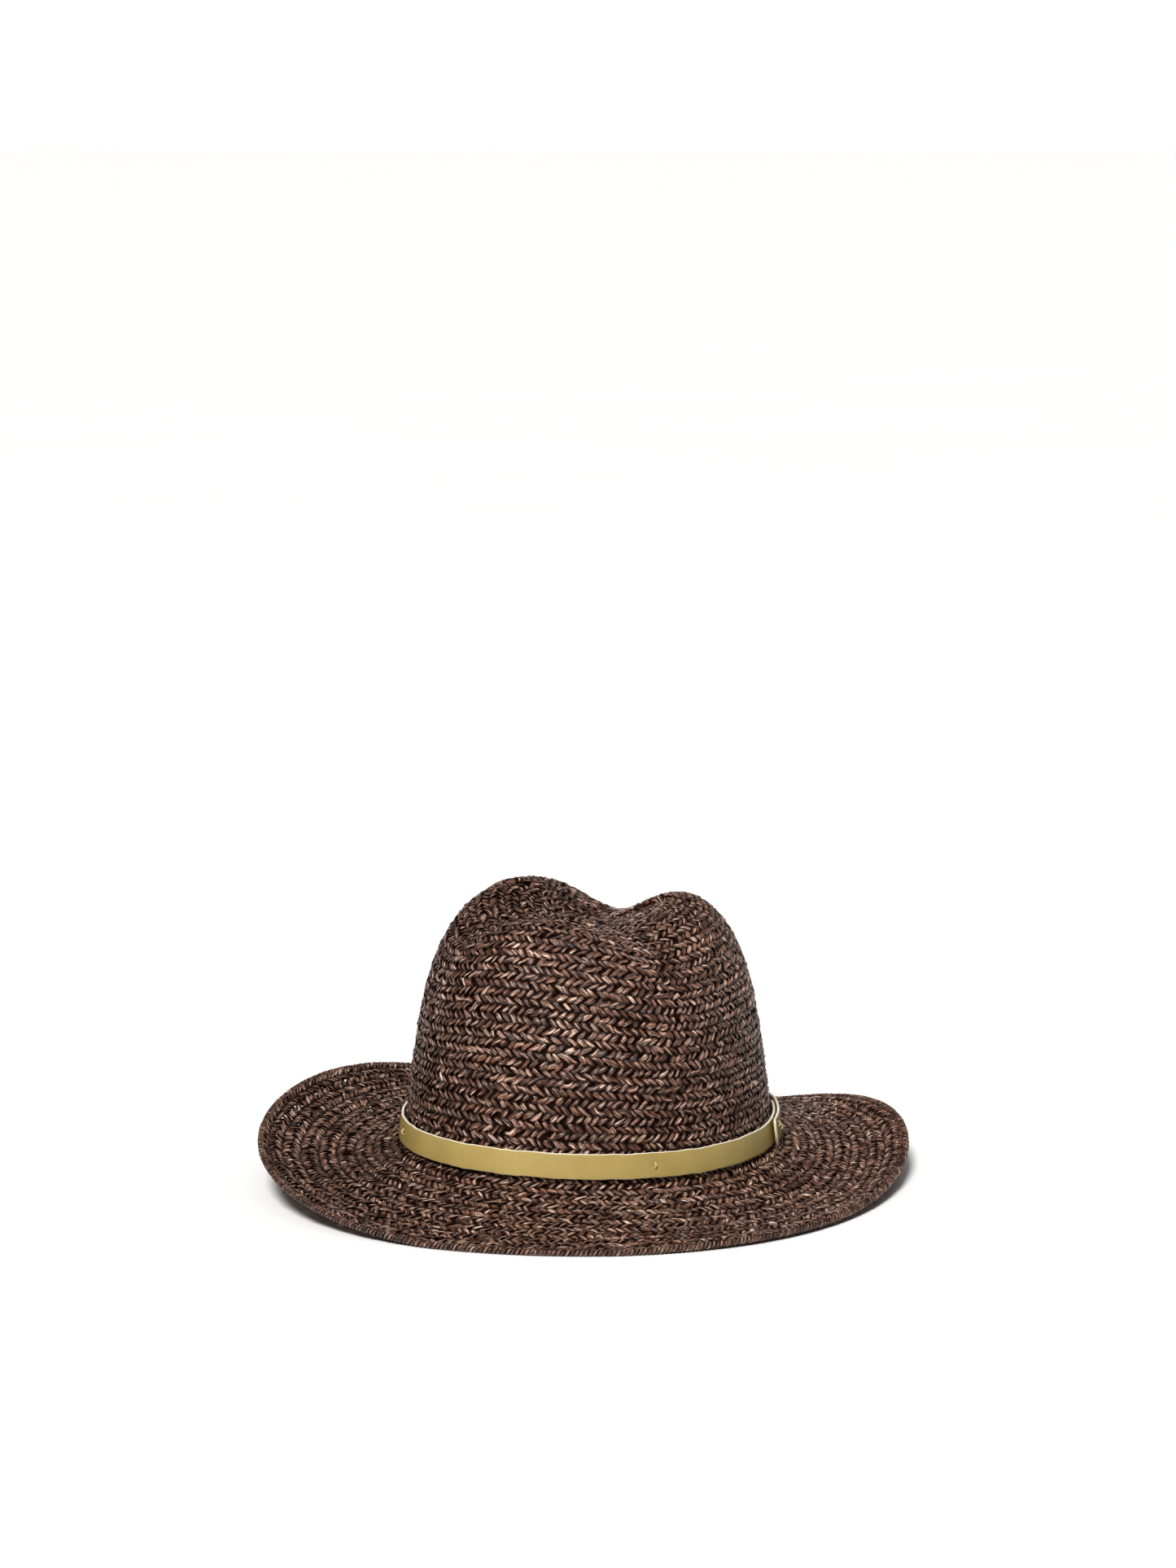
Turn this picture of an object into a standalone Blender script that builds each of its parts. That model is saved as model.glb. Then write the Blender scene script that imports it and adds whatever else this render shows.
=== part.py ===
"""Sewn-braid straw fedora with a narrow leather hatband, modelled as the pieces it comes apart into.

Metres, +Z up. The wearer faces -Y, so the wearer's left is +X. The hat stands on its brim: z = 0 is the
surface it rests on, and the origin is the centre of its footprint. An angle round the hat is measured from
+X (the wearer's left) towards +Y (the back of the head).
"""

import math

import bmesh
import bpy
import numpy as np

# Driving dimensions -------------------------------------------------------------------------------------

AROUND = 64                        # divisions round the hat
GAP = 0.00035                      # clearance between pieces that touch

HEAD_HALF_WIDTH = 0.0820           # outside of the crown at the headline
HEAD_HALF_LENGTH = 0.1020
HEADLINE_HEIGHT = 0.0230           # where the crown meets the brim, in front and behind
HEADLINE_SIDE_DIP = 0.0020         # how much lower the headline is at the sides
CROWN_TOP = 0.1393
CROWN_TAPER = 0.165                # share of the width lost at the top
CROWN_SQUARENESS = 4.2             # superellipse power of the crown's profile
CROWN_LEAN = -0.0025               # sideways shift of the top
STRAW = 0.0022                     # thickness of the sewn braid

CREASE_DEPTH = 0.019               # centre dent along the top
CREASE_MIDDLE = 0.012
CREASE_FRONT_REACH = 0.062
CREASE_BACK_REACH = 0.095
CREASE_FRONT_WIDTH = 0.030
CREASE_BACK_WIDTH = 0.025
CREASE_FADE = (0.40, 0.85)         # rises between which the dents fade in
PINCH_DEPTH = 0.009                # the two finger pinches at the front
PINCH_PLACE = (0.038, -0.038)
PINCH_RADIUS = 0.022
LEFT_HUMP_DROP = 0.003             # the wearer's left ridge is lower than the right one

BRIM_DROOP = 0.003                 # hollow of the brim between headline and edge, in front and behind
BRIM_SIDE_DROOP = 0.007            # more of it at the sides
BRIM_SETBACK = 0.0010              # leaves the tilted end of the brim clear of its edge cord

# The brim's edge: half sizes, and the waves that turn its sides up and dip its front and back.
EDGE_HALF_WIDTH = 0.1452
EDGE_HALF_LENGTH = 0.1625
EDGE_WIDTH_WAVE = -0.0016
EDGE_LENGTH_WAVE = 0.0030
EDGE_CENTRE = (-0.0013, -0.0010)
EDGE_HEIGHT = 0.0140
EDGE_COS_WAVES = (-0.0037, 0.0090, -0.0028, -0.0019)    # once, twice, three and four times round
EDGE_SIN_WAVES = (0.0011, 0.0017, 0.0038)
REST_PITCH = 0.0171                # radians: the hat settles on its brim, front down
REST_ROLL = 0.0265                 # radians: and the wearer's left side down
EDGE_FLATTENED = 0.0010            # how much of the lowest edge is pressed flat by the hat's weight

CORD_RADIUS = 0.0015               # rolled straw cord that finishes the brim
WIRE_RADIUS = 0.0004               # brim wire inside it
CORD_BORE = WIRE_RADIUS + GAP
CORD_SLOT_ANGLE = 25.0             # half angle of the cord's open side, which faces the brim
FLOOR_LINE = CORD_RADIUS * math.cos(math.radians(180.0 / 8))    # height of the cord's middle where it lies flat

BAND_HEIGHT = 0.0110               # leather hatband
BAND_THICKNESS = 0.0016
BAND_STANDOFF = 0.0012
BAND_LIFT = 0.0008                 # bottom of the band above the headline, at the sides
BAND_LIFT_FRONT = 0.0014           # and how much more in front and behind
BAND_START = 25.0                  # hidden inner end, degrees
BAND_RAMP = 12.0                   # stretch in which the band climbs over its own start
BAND_HINGE = 6.0                   # where the free end starts to lift
BAND_FREE_END = 1.5
BAND_FLARE = 0.0012                # how far the free end stands off at rest
BAND_GAP_ANGLE = 0.25

SWEATBAND_THICKNESS = 0.0009
SWEATBAND_BELOW = 0.0008
SWEATBAND_ABOVE = 0.0300
REED_RADIUS = 0.0009
THREAD_RADIUS = 0.00025
THREAD_HEIGHT = 0.0020
TAPE_THICKNESS = 0.0006
TAB_HALF_ANGLE = 3.6               # degrees, a tab about 12 mm wide
TAB_AT = 72.0
TAB_TOP = 0.0260
TAB_HEIGHT = 0.0150

TACK_SIZE = (0.0008, 0.0008, 0.0026)

# Surfaces of the hat, before it is set down on its brim -------------------------------------------------


def headline(angle):
    """Height of the joint between crown and brim."""
    return HEADLINE_HEIGHT - HEADLINE_SIDE_DIP * np.cos(angle) ** 2


def crown_point(angle, rise):
    """Crown surface: rise is 0 at the headline and 1 at the middle of the top."""
    angle, rise = np.broadcast_arrays(np.asarray(angle, float), np.asarray(rise, float))
    reach = (1.0 - np.abs(rise) ** CROWN_SQUARENESS) ** (1.0 / CROWN_SQUARENESS)
    reach = reach * (1.0 - CROWN_TAPER * rise)
    x = HEAD_HALF_WIDTH * reach * np.cos(angle)
    y = HEAD_HALF_LENGTH * reach * np.sin(angle)
    base = headline(angle)
    z = base + (CROWN_TOP - base) * rise
    front = y < CREASE_MIDDLE
    width = np.where(front, CREASE_FRONT_WIDTH, CREASE_BACK_WIDTH)
    along = (y - CREASE_MIDDLE) / np.where(front, CREASE_FRONT_REACH, CREASE_BACK_REACH)
    fade = np.clip((rise - CREASE_FADE[0]) / (CREASE_FADE[1] - CREASE_FADE[0]), 0.0, 1.0)
    fade = fade * fade * (3.0 - 2.0 * fade)
    z = z - CREASE_DEPTH * fade * np.exp(-((x / width) ** 2)) * np.exp(-1.2 * along**4)
    for side in (-1, 1):
        across = x - side * PINCH_PLACE[0]
        distance = (across**2 + (y - PINCH_PLACE[1]) ** 2) / PINCH_RADIUS**2
        z = z - PINCH_DEPTH * fade * np.exp(-distance)
    z = z - LEFT_HUMP_DROP * rise**4 * 0.5 * (1.0 + np.tanh(x / 0.02))
    return np.stack([x + CROWN_LEAN * rise, y, z], -1)


def crown_normal(angle, rise):
    """Outward unit normal of the crown's wall."""
    step = 1e-4
    around = crown_point(angle + step, rise) - crown_point(angle - step, rise)
    upward = crown_point(angle, rise + step) - crown_point(angle, rise - step)
    normal = np.cross(around, upward)
    return normal / np.linalg.norm(normal, axis=-1, keepdims=True)


def wall_point(angle, height, outward):
    """Point at a height above the headline, moved outward from the crown's outer face."""
    rise = height / (CROWN_TOP - headline(angle))
    return crown_point(angle, rise) + outward[..., None] * crown_normal(angle, rise)


def crown_rises(count, start, end):
    """Rises that step evenly along the crown's profile, with start and end as shares of its length."""
    turn = np.linspace(0.0, math.pi / 2, 4001)
    power = 2.0 / CROWN_SQUARENESS
    rise = np.cos(turn) ** power
    reach = np.sin(turn) ** power * (1.0 - CROWN_TAPER * rise)
    run = np.hypot(np.diff(HEAD_HALF_WIDTH * reach), np.diff((CROWN_TOP - HEADLINE_HEIGHT) * rise))
    length = np.concatenate([[0.0], np.cumsum(run)])
    return np.interp(np.linspace(start, end, count) * length[-1], length, rise)


def raw_edge(angle):
    """Middle of the brim's edge before the hat is set down."""
    x = EDGE_CENTRE[0] + EDGE_HALF_WIDTH * np.cos(angle) + EDGE_WIDTH_WAVE * np.cos(3 * angle)
    y = EDGE_CENTRE[1] + EDGE_HALF_LENGTH * np.sin(angle) + EDGE_LENGTH_WAVE * np.sin(3 * angle)
    z = np.full_like(x, EDGE_HEIGHT)
    for turns, wave in enumerate(EDGE_COS_WAVES, start=1):
        z = z + wave * np.cos(turns * angle)
    for turns, wave in enumerate(EDGE_SIN_WAVES, start=1):
        z = z + wave * np.sin(turns * angle)
    return np.stack([x, y, z], -1)


def tilt(points):
    """Turn the hat by the small pitch and roll at which it rests."""
    x, y, z = points[..., 0], points[..., 1], points[..., 2]
    x, z = x * math.cos(REST_ROLL) + z * math.sin(REST_ROLL), z * math.cos(REST_ROLL) - x * math.sin(REST_ROLL)
    y, z = y * math.cos(REST_PITCH) - z * math.sin(REST_PITCH), z * math.cos(REST_PITCH) + y * math.sin(REST_PITCH)
    return np.stack([x, y, z], -1)


def ring_angles(count=AROUND):
    """Evenly spaced angles round the hat."""
    return np.arange(count) * (2.0 * math.pi / count)


def rest_shift():
    """Move that centres the tilted edge on the origin and sets its lowest stretch on z = 0."""
    edge = tilt(raw_edge(ring_angles(720)))
    middle = (edge.max(axis=0) + edge.min(axis=0)) / 2.0
    return np.array([-middle[0], -middle[1], FLOOR_LINE - EDGE_FLATTENED - edge[:, 2].min()])


SHIFT = rest_shift()


def settle(points):
    """Set points of the hat down in its rest place."""
    return tilt(points) + SHIFT


def edge_point(angle):
    """Middle of the brim's edge cord, at rest: its lowest stretches lie flat."""
    points = settle(raw_edge(angle))
    points[..., 2] = np.maximum(points[..., 2], FLOOR_LINE)
    return points


def edge_frame(angle):
    """Horizontal unit vector that points out of the brim, square to its edge."""
    step = 1e-3
    along = edge_point(angle + step) - edge_point(angle - step)
    outward = np.stack([along[..., 1], -along[..., 0], np.zeros_like(along[..., 0])], -1)
    return outward / np.linalg.norm(outward, axis=-1, keepdims=True)


def brim_point(angle, share):
    """Top of the brim: share is 0 at the headline and 1 at its edge."""
    inner = np.stack([
        HEAD_HALF_WIDTH * np.cos(angle), HEAD_HALF_LENGTH * np.sin(angle), headline(angle)], -1)
    outer = edge_point(angle) - (CORD_RADIUS + GAP + BRIM_SETBACK) * edge_frame(angle)
    outer[..., 2] += STRAW / 2.0
    points = settle(inner) * (1.0 - share)[..., None] + outer * share[..., None]
    droop = BRIM_DROOP + BRIM_SIDE_DROOP * np.cos(angle) ** 2
    points[..., 2] -= droop * 4.0 * share * (1.0 - share) * (0.6 + 0.4 * share)
    return points


# Mesh helpers ------------------------------------------------------------------------------------------


def material(name, colour, roughness, metallic=0.0):
    """Principled material."""
    made = bpy.data.materials.new(name)
    made.use_nodes = True
    shader = made.node_tree.nodes["Principled BSDF"]
    shader.inputs["Base Color"].default_value = (*colour, 1.0)
    shader.inputs["Roughness"].default_value = roughness
    shader.inputs["Metallic"].default_value = metallic
    return made


def add_object(name, data, finish):
    """Link a mesh or curve as a named object with its material."""
    piece = bpy.data.objects.new(name, data)
    data.materials.append(finish)
    bpy.context.collection.objects.link(piece)
    return piece


def grid_mesh(name, points, wrap, pole=None):
    """Mesh of a grid of points, closed round its columns if wrap is set, and closed by a pole above row 0."""
    rows, columns = points.shape[:2]
    vertices = points.reshape(-1, 3).tolist()
    faces = []
    last = columns if wrap else columns - 1
    for row in range(rows - 1):
        for column in range(last):
            after = (column + 1) % columns
            below = (row + 1) * columns
            faces.append((row * columns + column, below + column, below + after, row * columns + after))
    if pole is not None:
        vertices.append(pole.tolist())
        for column in range(last):
            faces.append((len(vertices) - 1, column, (column + 1) % columns))
    mesh = bpy.data.meshes.new(name)
    mesh.from_pydata(vertices, [], faces)
    mesh.shade_smooth()
    return mesh


def shell(name, points, thickness, finish, wrap=True, pole=None, grow=-1.0):
    """Sheet given its thickness by Solidify: grow is -1 inwards and 1 outwards from the faces' front."""
    piece = add_object(name, grid_mesh(name, points, wrap, pole), finish)
    solid = piece.modifiers.new("wall", "SOLIDIFY")
    solid.thickness = thickness
    solid.offset = grow
    return piece


def ring_tube(name, points, radius, finish, resolution=1):
    """Closed round cord along a ring of points."""
    curve = bpy.data.curves.new(name, "CURVE")
    curve.dimensions = "3D"
    curve.bevel_depth = radius
    curve.bevel_resolution = resolution
    spline = curve.splines.new("POLY")
    spline.points.add(len(points) - 1)
    for point, place in zip(spline.points, points):
        point.co = (*place.tolist(), 1.0)
    spline.use_cyclic_u = True
    return add_object(name, curve, finish)


def move_origin(piece, pivot):
    """Put a mesh object's origin on its joint's axis without moving its shape."""
    for vertex in piece.data.vertices:
        vertex.co = [vertex.co[axis] - float(pivot[axis]) for axis in range(3)]
    piece.location = [float(value) for value in pivot]


# Straw body --------------------------------------------------------------------------------------------

STRAW_COLOUR = (0.098, 0.055, 0.043)
SEAM = 0.0035                      # half gap between shells of the crown, as a share of its profile
BRIM_SEAM = 0.008                  # the same across the brim
CROWN_PARTS = (                    # name, start and end as shares of the profile, rows
    ("crown_tip", 0.05, 0.46, 10),
    ("crown_side_upper", 0.46, 0.73, 4),
    ("crown_side_lower", 0.73, 1.00, 4),
)
BRIM_PARTS = (                     # name, start and end as shares of the brim's width, rows
    ("brim_inner", 0.0, 0.5, 4),
    ("brim_outer", 0.5, 1.0, 4),
)


def build_crown():
    """Creased top of the crown and its wall in two bands, split along courses of the braid."""
    for name, start, end, rows in CROWN_PARTS:
        top = name == "crown_tip"
        rises = crown_rises(rows, start if top else start + SEAM, end if end == 1.0 else end - SEAM)
        if end == 1.0:
            rises[-1] = GAP / (CROWN_TOP - HEADLINE_HEIGHT)
        angle, rise = np.meshgrid(ring_angles(), rises)
        pole = settle(crown_point(0.0, 1.0)) if top else None
        shell(name, settle(crown_point(angle, rise)), STRAW, material(name + "_straw", STRAW_COLOUR, 0.55),
              pole=pole)


def build_brim():
    """Brim in two rings, from under the crown's wall to the rolled edge."""
    turn = ring_angles()
    lip = np.stack([(HEAD_HALF_WIDTH - 0.8 * STRAW) * np.cos(turn),
                    (HEAD_HALF_LENGTH - 0.8 * STRAW) * np.sin(turn), headline(turn)], -1)
    for name, start, end, rows in BRIM_PARTS:
        first = start if start == 0.0 else start + BRIM_SEAM
        last = end if end == 1.0 else end - BRIM_SEAM
        angle, share = np.meshgrid(turn, np.linspace(first, last, rows))
        points = brim_point(angle, share)
        if start == 0.0:
            points = np.concatenate([settle(lip)[None], points])
        shell(name, points, STRAW, material(name + "_straw", STRAW_COLOUR, 0.55))


def cord_section():
    """Outline of the edge cord: an open ring whose slot faces the brim, with a flat underside."""
    outer = [180.0 - CORD_SLOT_ANGLE, 112.5, 67.5, 0.0, -67.5, -112.5, -180.0 + CORD_SLOT_ANGLE]
    angles = np.radians(outer)
    wide = CORD_RADIUS * np.stack([np.cos(angles), np.sin(angles)], -1)
    narrow = CORD_BORE * np.stack([np.cos(angles), np.sin(angles)], -1)
    return np.concatenate([wide, narrow[::-1]])


def build_edge_cord():
    """Rolled cord that finishes the brim's edge and hides the brim wire."""
    turn = ring_angles()
    outline = cord_section()
    middle = edge_point(turn)
    outward = edge_frame(turn)
    upward = np.array([0.0, 0.0, 1.0])
    rings = middle[:, None] + outward[:, None] * outline[None, :, :1] + upward * outline[None, :, 1:]
    closed = np.concatenate([rings, rings[:1]])
    mesh = bmesh.new()
    vertices = [[mesh.verts.new(point) for point in ring] for ring in closed[:-1].tolist()]
    count = len(outline)
    for here in range(AROUND):
        after = (here + 1) % AROUND
        for side in range(count):
            other = (side + 1) % count
            mesh.faces.new((vertices[here][side], vertices[here][other],
                            vertices[after][other], vertices[after][side]))
    bmesh.ops.recalc_face_normals(mesh, faces=mesh.faces)
    data = bpy.data.meshes.new("brim_edge_cord")
    mesh.to_mesh(data)
    mesh.free()
    return add_object("brim_edge_cord", data, material("straw_cord", (0.11, 0.065, 0.05), 0.5))


def build_brim_wire():
    """Steel wire that holds the brim's turned-up shape."""
    return ring_tube("brim_wire", edge_point(ring_angles()), WIRE_RADIUS,
                     material("wire", (0.55, 0.55, 0.57), 0.35, 1.0))


# Inside of the crown -----------------------------------------------------------------------------------

SWEATBAND_OUTER = -(STRAW + GAP)
SWEATBAND_INNER = SWEATBAND_OUTER - SWEATBAND_THICKNESS


def wall_patch(name, angles, heights, outward, thickness, finish, wrap=False):
    """Thin piece that follows the inside of the crown's wall and grows towards the head."""
    angle, height = np.meshgrid(angles, heights)
    points = settle(wall_point(angle, height, np.full_like(angle, outward)))
    return shell(name, points, thickness, finish, wrap=wrap)


def build_sweatband():
    """Woven sweatband, sewn in round the headline."""
    return wall_patch("sweatband", ring_angles(), np.linspace(SWEATBAND_ABOVE, -SWEATBAND_BELOW, 3),
                      SWEATBAND_OUTER, SWEATBAND_THICKNESS, material("sweatband", (0.03, 0.022, 0.02), 0.8),
                      wrap=True)


def build_reed():
    """Piped lower edge of the sweatband."""
    turn = ring_angles()
    height = np.full_like(turn, -SWEATBAND_BELOW - GAP - REED_RADIUS)
    middle = np.full_like(turn, SWEATBAND_OUTER - SWEATBAND_THICKNESS / 2.0)
    return ring_tube("sweatband_reed", settle(wall_point(turn, height, middle)), REED_RADIUS,
                     material("reed", (0.035, 0.026, 0.023), 0.75))


def build_sweatband_thread():
    """Row of stitching that holds the sweatband, as one thread."""
    turn = ring_angles()
    height = np.full_like(turn, THREAD_HEIGHT)
    inward = np.full_like(turn, SWEATBAND_INNER - GAP - THREAD_RADIUS)
    return ring_tube("sweatband_thread", settle(wall_point(turn, height, inward)), THREAD_RADIUS,
                     material("thread", (0.12, 0.08, 0.06), 0.7), resolution=0)


def build_seam_tape():
    """Tape over the butted ends of the sweatband, at the back of the head."""
    return wall_patch("sweatband_seam_tape", np.radians(np.linspace(85.0, 95.0, 4)), (0.028, 0.004),
                      SWEATBAND_INNER - GAP, TAPE_THICKNESS, material("tape", (0.04, 0.03, 0.027), 0.75))


def build_blank_label():
    """Plain woven label on the sweatband, at the wearer's right behind."""
    return wall_patch("blank_label", np.radians(np.linspace(108.0, 128.0, 6)), (0.024, 0.008),
                      SWEATBAND_INNER - GAP, TAPE_THICKNESS, material("label", (0.45, 0.40, 0.30), 0.7))


def build_size_tab():
    """Little size label that hangs from a stitched top edge and flips up."""
    angles = np.radians(np.linspace(TAB_AT - TAB_HALF_ANGLE, TAB_AT + TAB_HALF_ANGLE, 2))
    piece = wall_patch("size_tab", angles, (TAB_TOP, TAB_TOP - TAB_HEIGHT), SWEATBAND_INNER - GAP,
                       TAPE_THICKNESS, material("tab", (0.62, 0.58, 0.48), 0.7))
    top = np.array([TAB_TOP])
    inward = np.array([SWEATBAND_INNER - GAP - TAPE_THICKNESS / 2.0])
    pivot = settle(wall_point(np.radians([TAB_AT]), top, inward))[0]
    move_origin(piece, pivot)
    return piece


# Hatband -----------------------------------------------------------------------------------------------

LAP_STEP = BAND_THICKNESS + GAP


def band_bottom(angle):
    """Height of the band's lower edge above the headline."""
    return BAND_LIFT + BAND_LIFT_FRONT * np.sin(angle) ** 2


def band_points(angles, outward):
    """Inner face of a stretch of band: two rows, top and bottom."""
    bottom = band_bottom(angles)
    heights = np.stack([bottom + BAND_HEIGHT, bottom])
    return settle(wall_point(np.stack([angles] * 2), heights, np.stack([outward] * 2)))


def build_band():
    """Leather strap, once round the crown and over its own start at the wearer's left."""
    sweep = np.concatenate([np.linspace(0.0, 360.0 - BAND_RAMP - 1.0, AROUND),
                            np.linspace(360.0 - 1.0, 360.0 + BAND_START - BAND_HINGE, 6)])
    climb = np.clip((sweep - (360.0 - BAND_RAMP - 1.0)) / BAND_RAMP, 0.0, 1.0)
    outward = BAND_STANDOFF + LAP_STEP * climb
    angles = np.radians(BAND_START - sweep)
    points = band_points(angles[::-1], outward[::-1])
    return shell("hatband_strap", points, BAND_THICKNESS, material("leather", (0.44, 0.32, 0.11), 0.45),
                 wrap=False, grow=1.0)


def band_hinge():
    """Point of the lap's outer face where its free end starts to lift."""
    angle = np.radians([BAND_HINGE - BAND_GAP_ANGLE])
    height = band_bottom(angle) + BAND_HEIGHT / 2.0
    outward = np.array([BAND_STANDOFF + LAP_STEP + BAND_THICKNESS])
    return settle(wall_point(angle, height, outward))[0]


def build_strap_end():
    """Free end of the strap, beyond the tacks of the lap."""
    degrees = np.linspace(BAND_HINGE - BAND_GAP_ANGLE, BAND_FREE_END, 4)
    flare = BAND_FLARE * ((degrees[0] - degrees) / (degrees[0] - degrees[-1])) ** 1.5
    points = band_points(np.radians(degrees)[::-1], (BAND_STANDOFF + LAP_STEP + flare)[::-1])
    piece = shell("strap_end", points, BAND_THICKNESS, material("leather_end", (0.44, 0.32, 0.11), 0.45),
                  wrap=False, grow=1.0)
    move_origin(piece, band_hinge())
    return piece


def build_tack(name, degrees, height_share, layers):
    """Thread tack on the band's face: a short rounded bar."""
    angle = np.radians([degrees])
    height = band_bottom(angle) + BAND_HEIGHT * height_share
    outward = BAND_STANDOFF + BAND_THICKNESS + LAP_STEP * (layers - 1) + GAP + TACK_SIZE[0] / 2.0
    place = settle(wall_point(angle, height, np.array([outward])))[0]
    mesh = bmesh.new()
    bmesh.ops.create_cube(mesh, size=1.0)
    bmesh.ops.scale(mesh, vec=TACK_SIZE, verts=mesh.verts)
    bmesh.ops.bevel(mesh, geom=list(mesh.edges), offset=0.0002, segments=1, affect="EDGES")
    data = bpy.data.meshes.new(name)
    mesh.to_mesh(data)
    mesh.free()
    piece = add_object(name, data, material(name + "_thread", (0.62, 0.50, 0.28), 0.6))
    face = crown_normal(angle, height / (CROWN_TOP - headline(angle)))[0]
    piece.location = place.tolist()
    piece.rotation_euler = (0.0, -math.asin(face[2]), math.atan2(face[1], face[0]))
    return piece


TACKS = (
    ("tack_front_left", -52.0, 0.50, 1),
    ("tack_right", -148.0, 0.50, 1),
    ("tack_back", 100.0, 0.50, 1),
    ("lap_tack_upper", 8.5, 0.64, 2),
    ("lap_tack_lower", 13.5, 0.30, 2),
)


def main():
    """Build every piece of the hat."""
    for old in list(bpy.data.objects):
        bpy.data.objects.remove(old, do_unlink=True)
    build_crown()
    build_brim()
    build_edge_cord()
    build_brim_wire()
    build_sweatband()
    build_reed()
    build_sweatband_thread()
    build_seam_tape()
    build_blank_label()
    build_size_tab()
    build_band()
    build_strap_end()
    for name, degrees, height_share, layers in TACKS:
        build_tack(name, degrees, height_share, layers)


main()
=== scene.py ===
"""Looks of a sewn-braid straw fedora with a narrow leather hatband.

Every visible surface is worked out with numpy from the same shape rules as the hat's design: a crown, a
brim and an edge curve, set down on the brim's lowest stretches. Lengths are metres, +Z is up, the front of
the hat faces -Y and the wearer's left is +X. Angles round the hat run from +X towards +Y.
"""

import logging
import math
from dataclasses import dataclass
from enum import Enum

import bpy
import numpy as np
from mathutils import Matrix, Vector


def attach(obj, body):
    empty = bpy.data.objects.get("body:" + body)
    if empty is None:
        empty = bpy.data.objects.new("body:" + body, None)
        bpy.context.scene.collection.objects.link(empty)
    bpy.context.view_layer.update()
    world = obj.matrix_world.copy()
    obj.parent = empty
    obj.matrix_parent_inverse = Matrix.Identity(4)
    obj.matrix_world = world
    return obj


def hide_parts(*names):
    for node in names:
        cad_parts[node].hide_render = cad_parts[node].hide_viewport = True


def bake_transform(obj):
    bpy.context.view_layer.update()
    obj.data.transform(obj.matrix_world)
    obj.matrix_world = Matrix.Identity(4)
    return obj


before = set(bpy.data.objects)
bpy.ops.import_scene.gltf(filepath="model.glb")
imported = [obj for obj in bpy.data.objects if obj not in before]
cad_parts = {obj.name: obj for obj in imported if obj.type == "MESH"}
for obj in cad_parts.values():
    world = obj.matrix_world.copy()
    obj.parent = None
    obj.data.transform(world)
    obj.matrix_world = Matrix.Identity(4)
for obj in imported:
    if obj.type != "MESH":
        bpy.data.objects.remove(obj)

LOG = logging.getLogger("fedora")
TURN = 2.0 * math.pi
CENTIMETRES = 100.0
FLOOR_GAP = 0.00008
UV_MAP = "fibre"
Colour = tuple[float, float, float]


def unit(vectors: np.ndarray) -> np.ndarray:
    """Vectors scaled to a length of one."""
    return vectors / np.linalg.norm(vectors, axis=-1, keepdims=True)


def eased(value: np.ndarray, start: float, end: float) -> np.ndarray:
    """Smooth step: 0 up to start, 1 from end on, and a cubic that is level at both ends between."""
    share = np.clip((value - start) / (end - start), 0.0, 1.0)
    return share * share * (3.0 - 2.0 * share)


# Shape of the hat --------------------------------------------------------------------------------------


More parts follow.
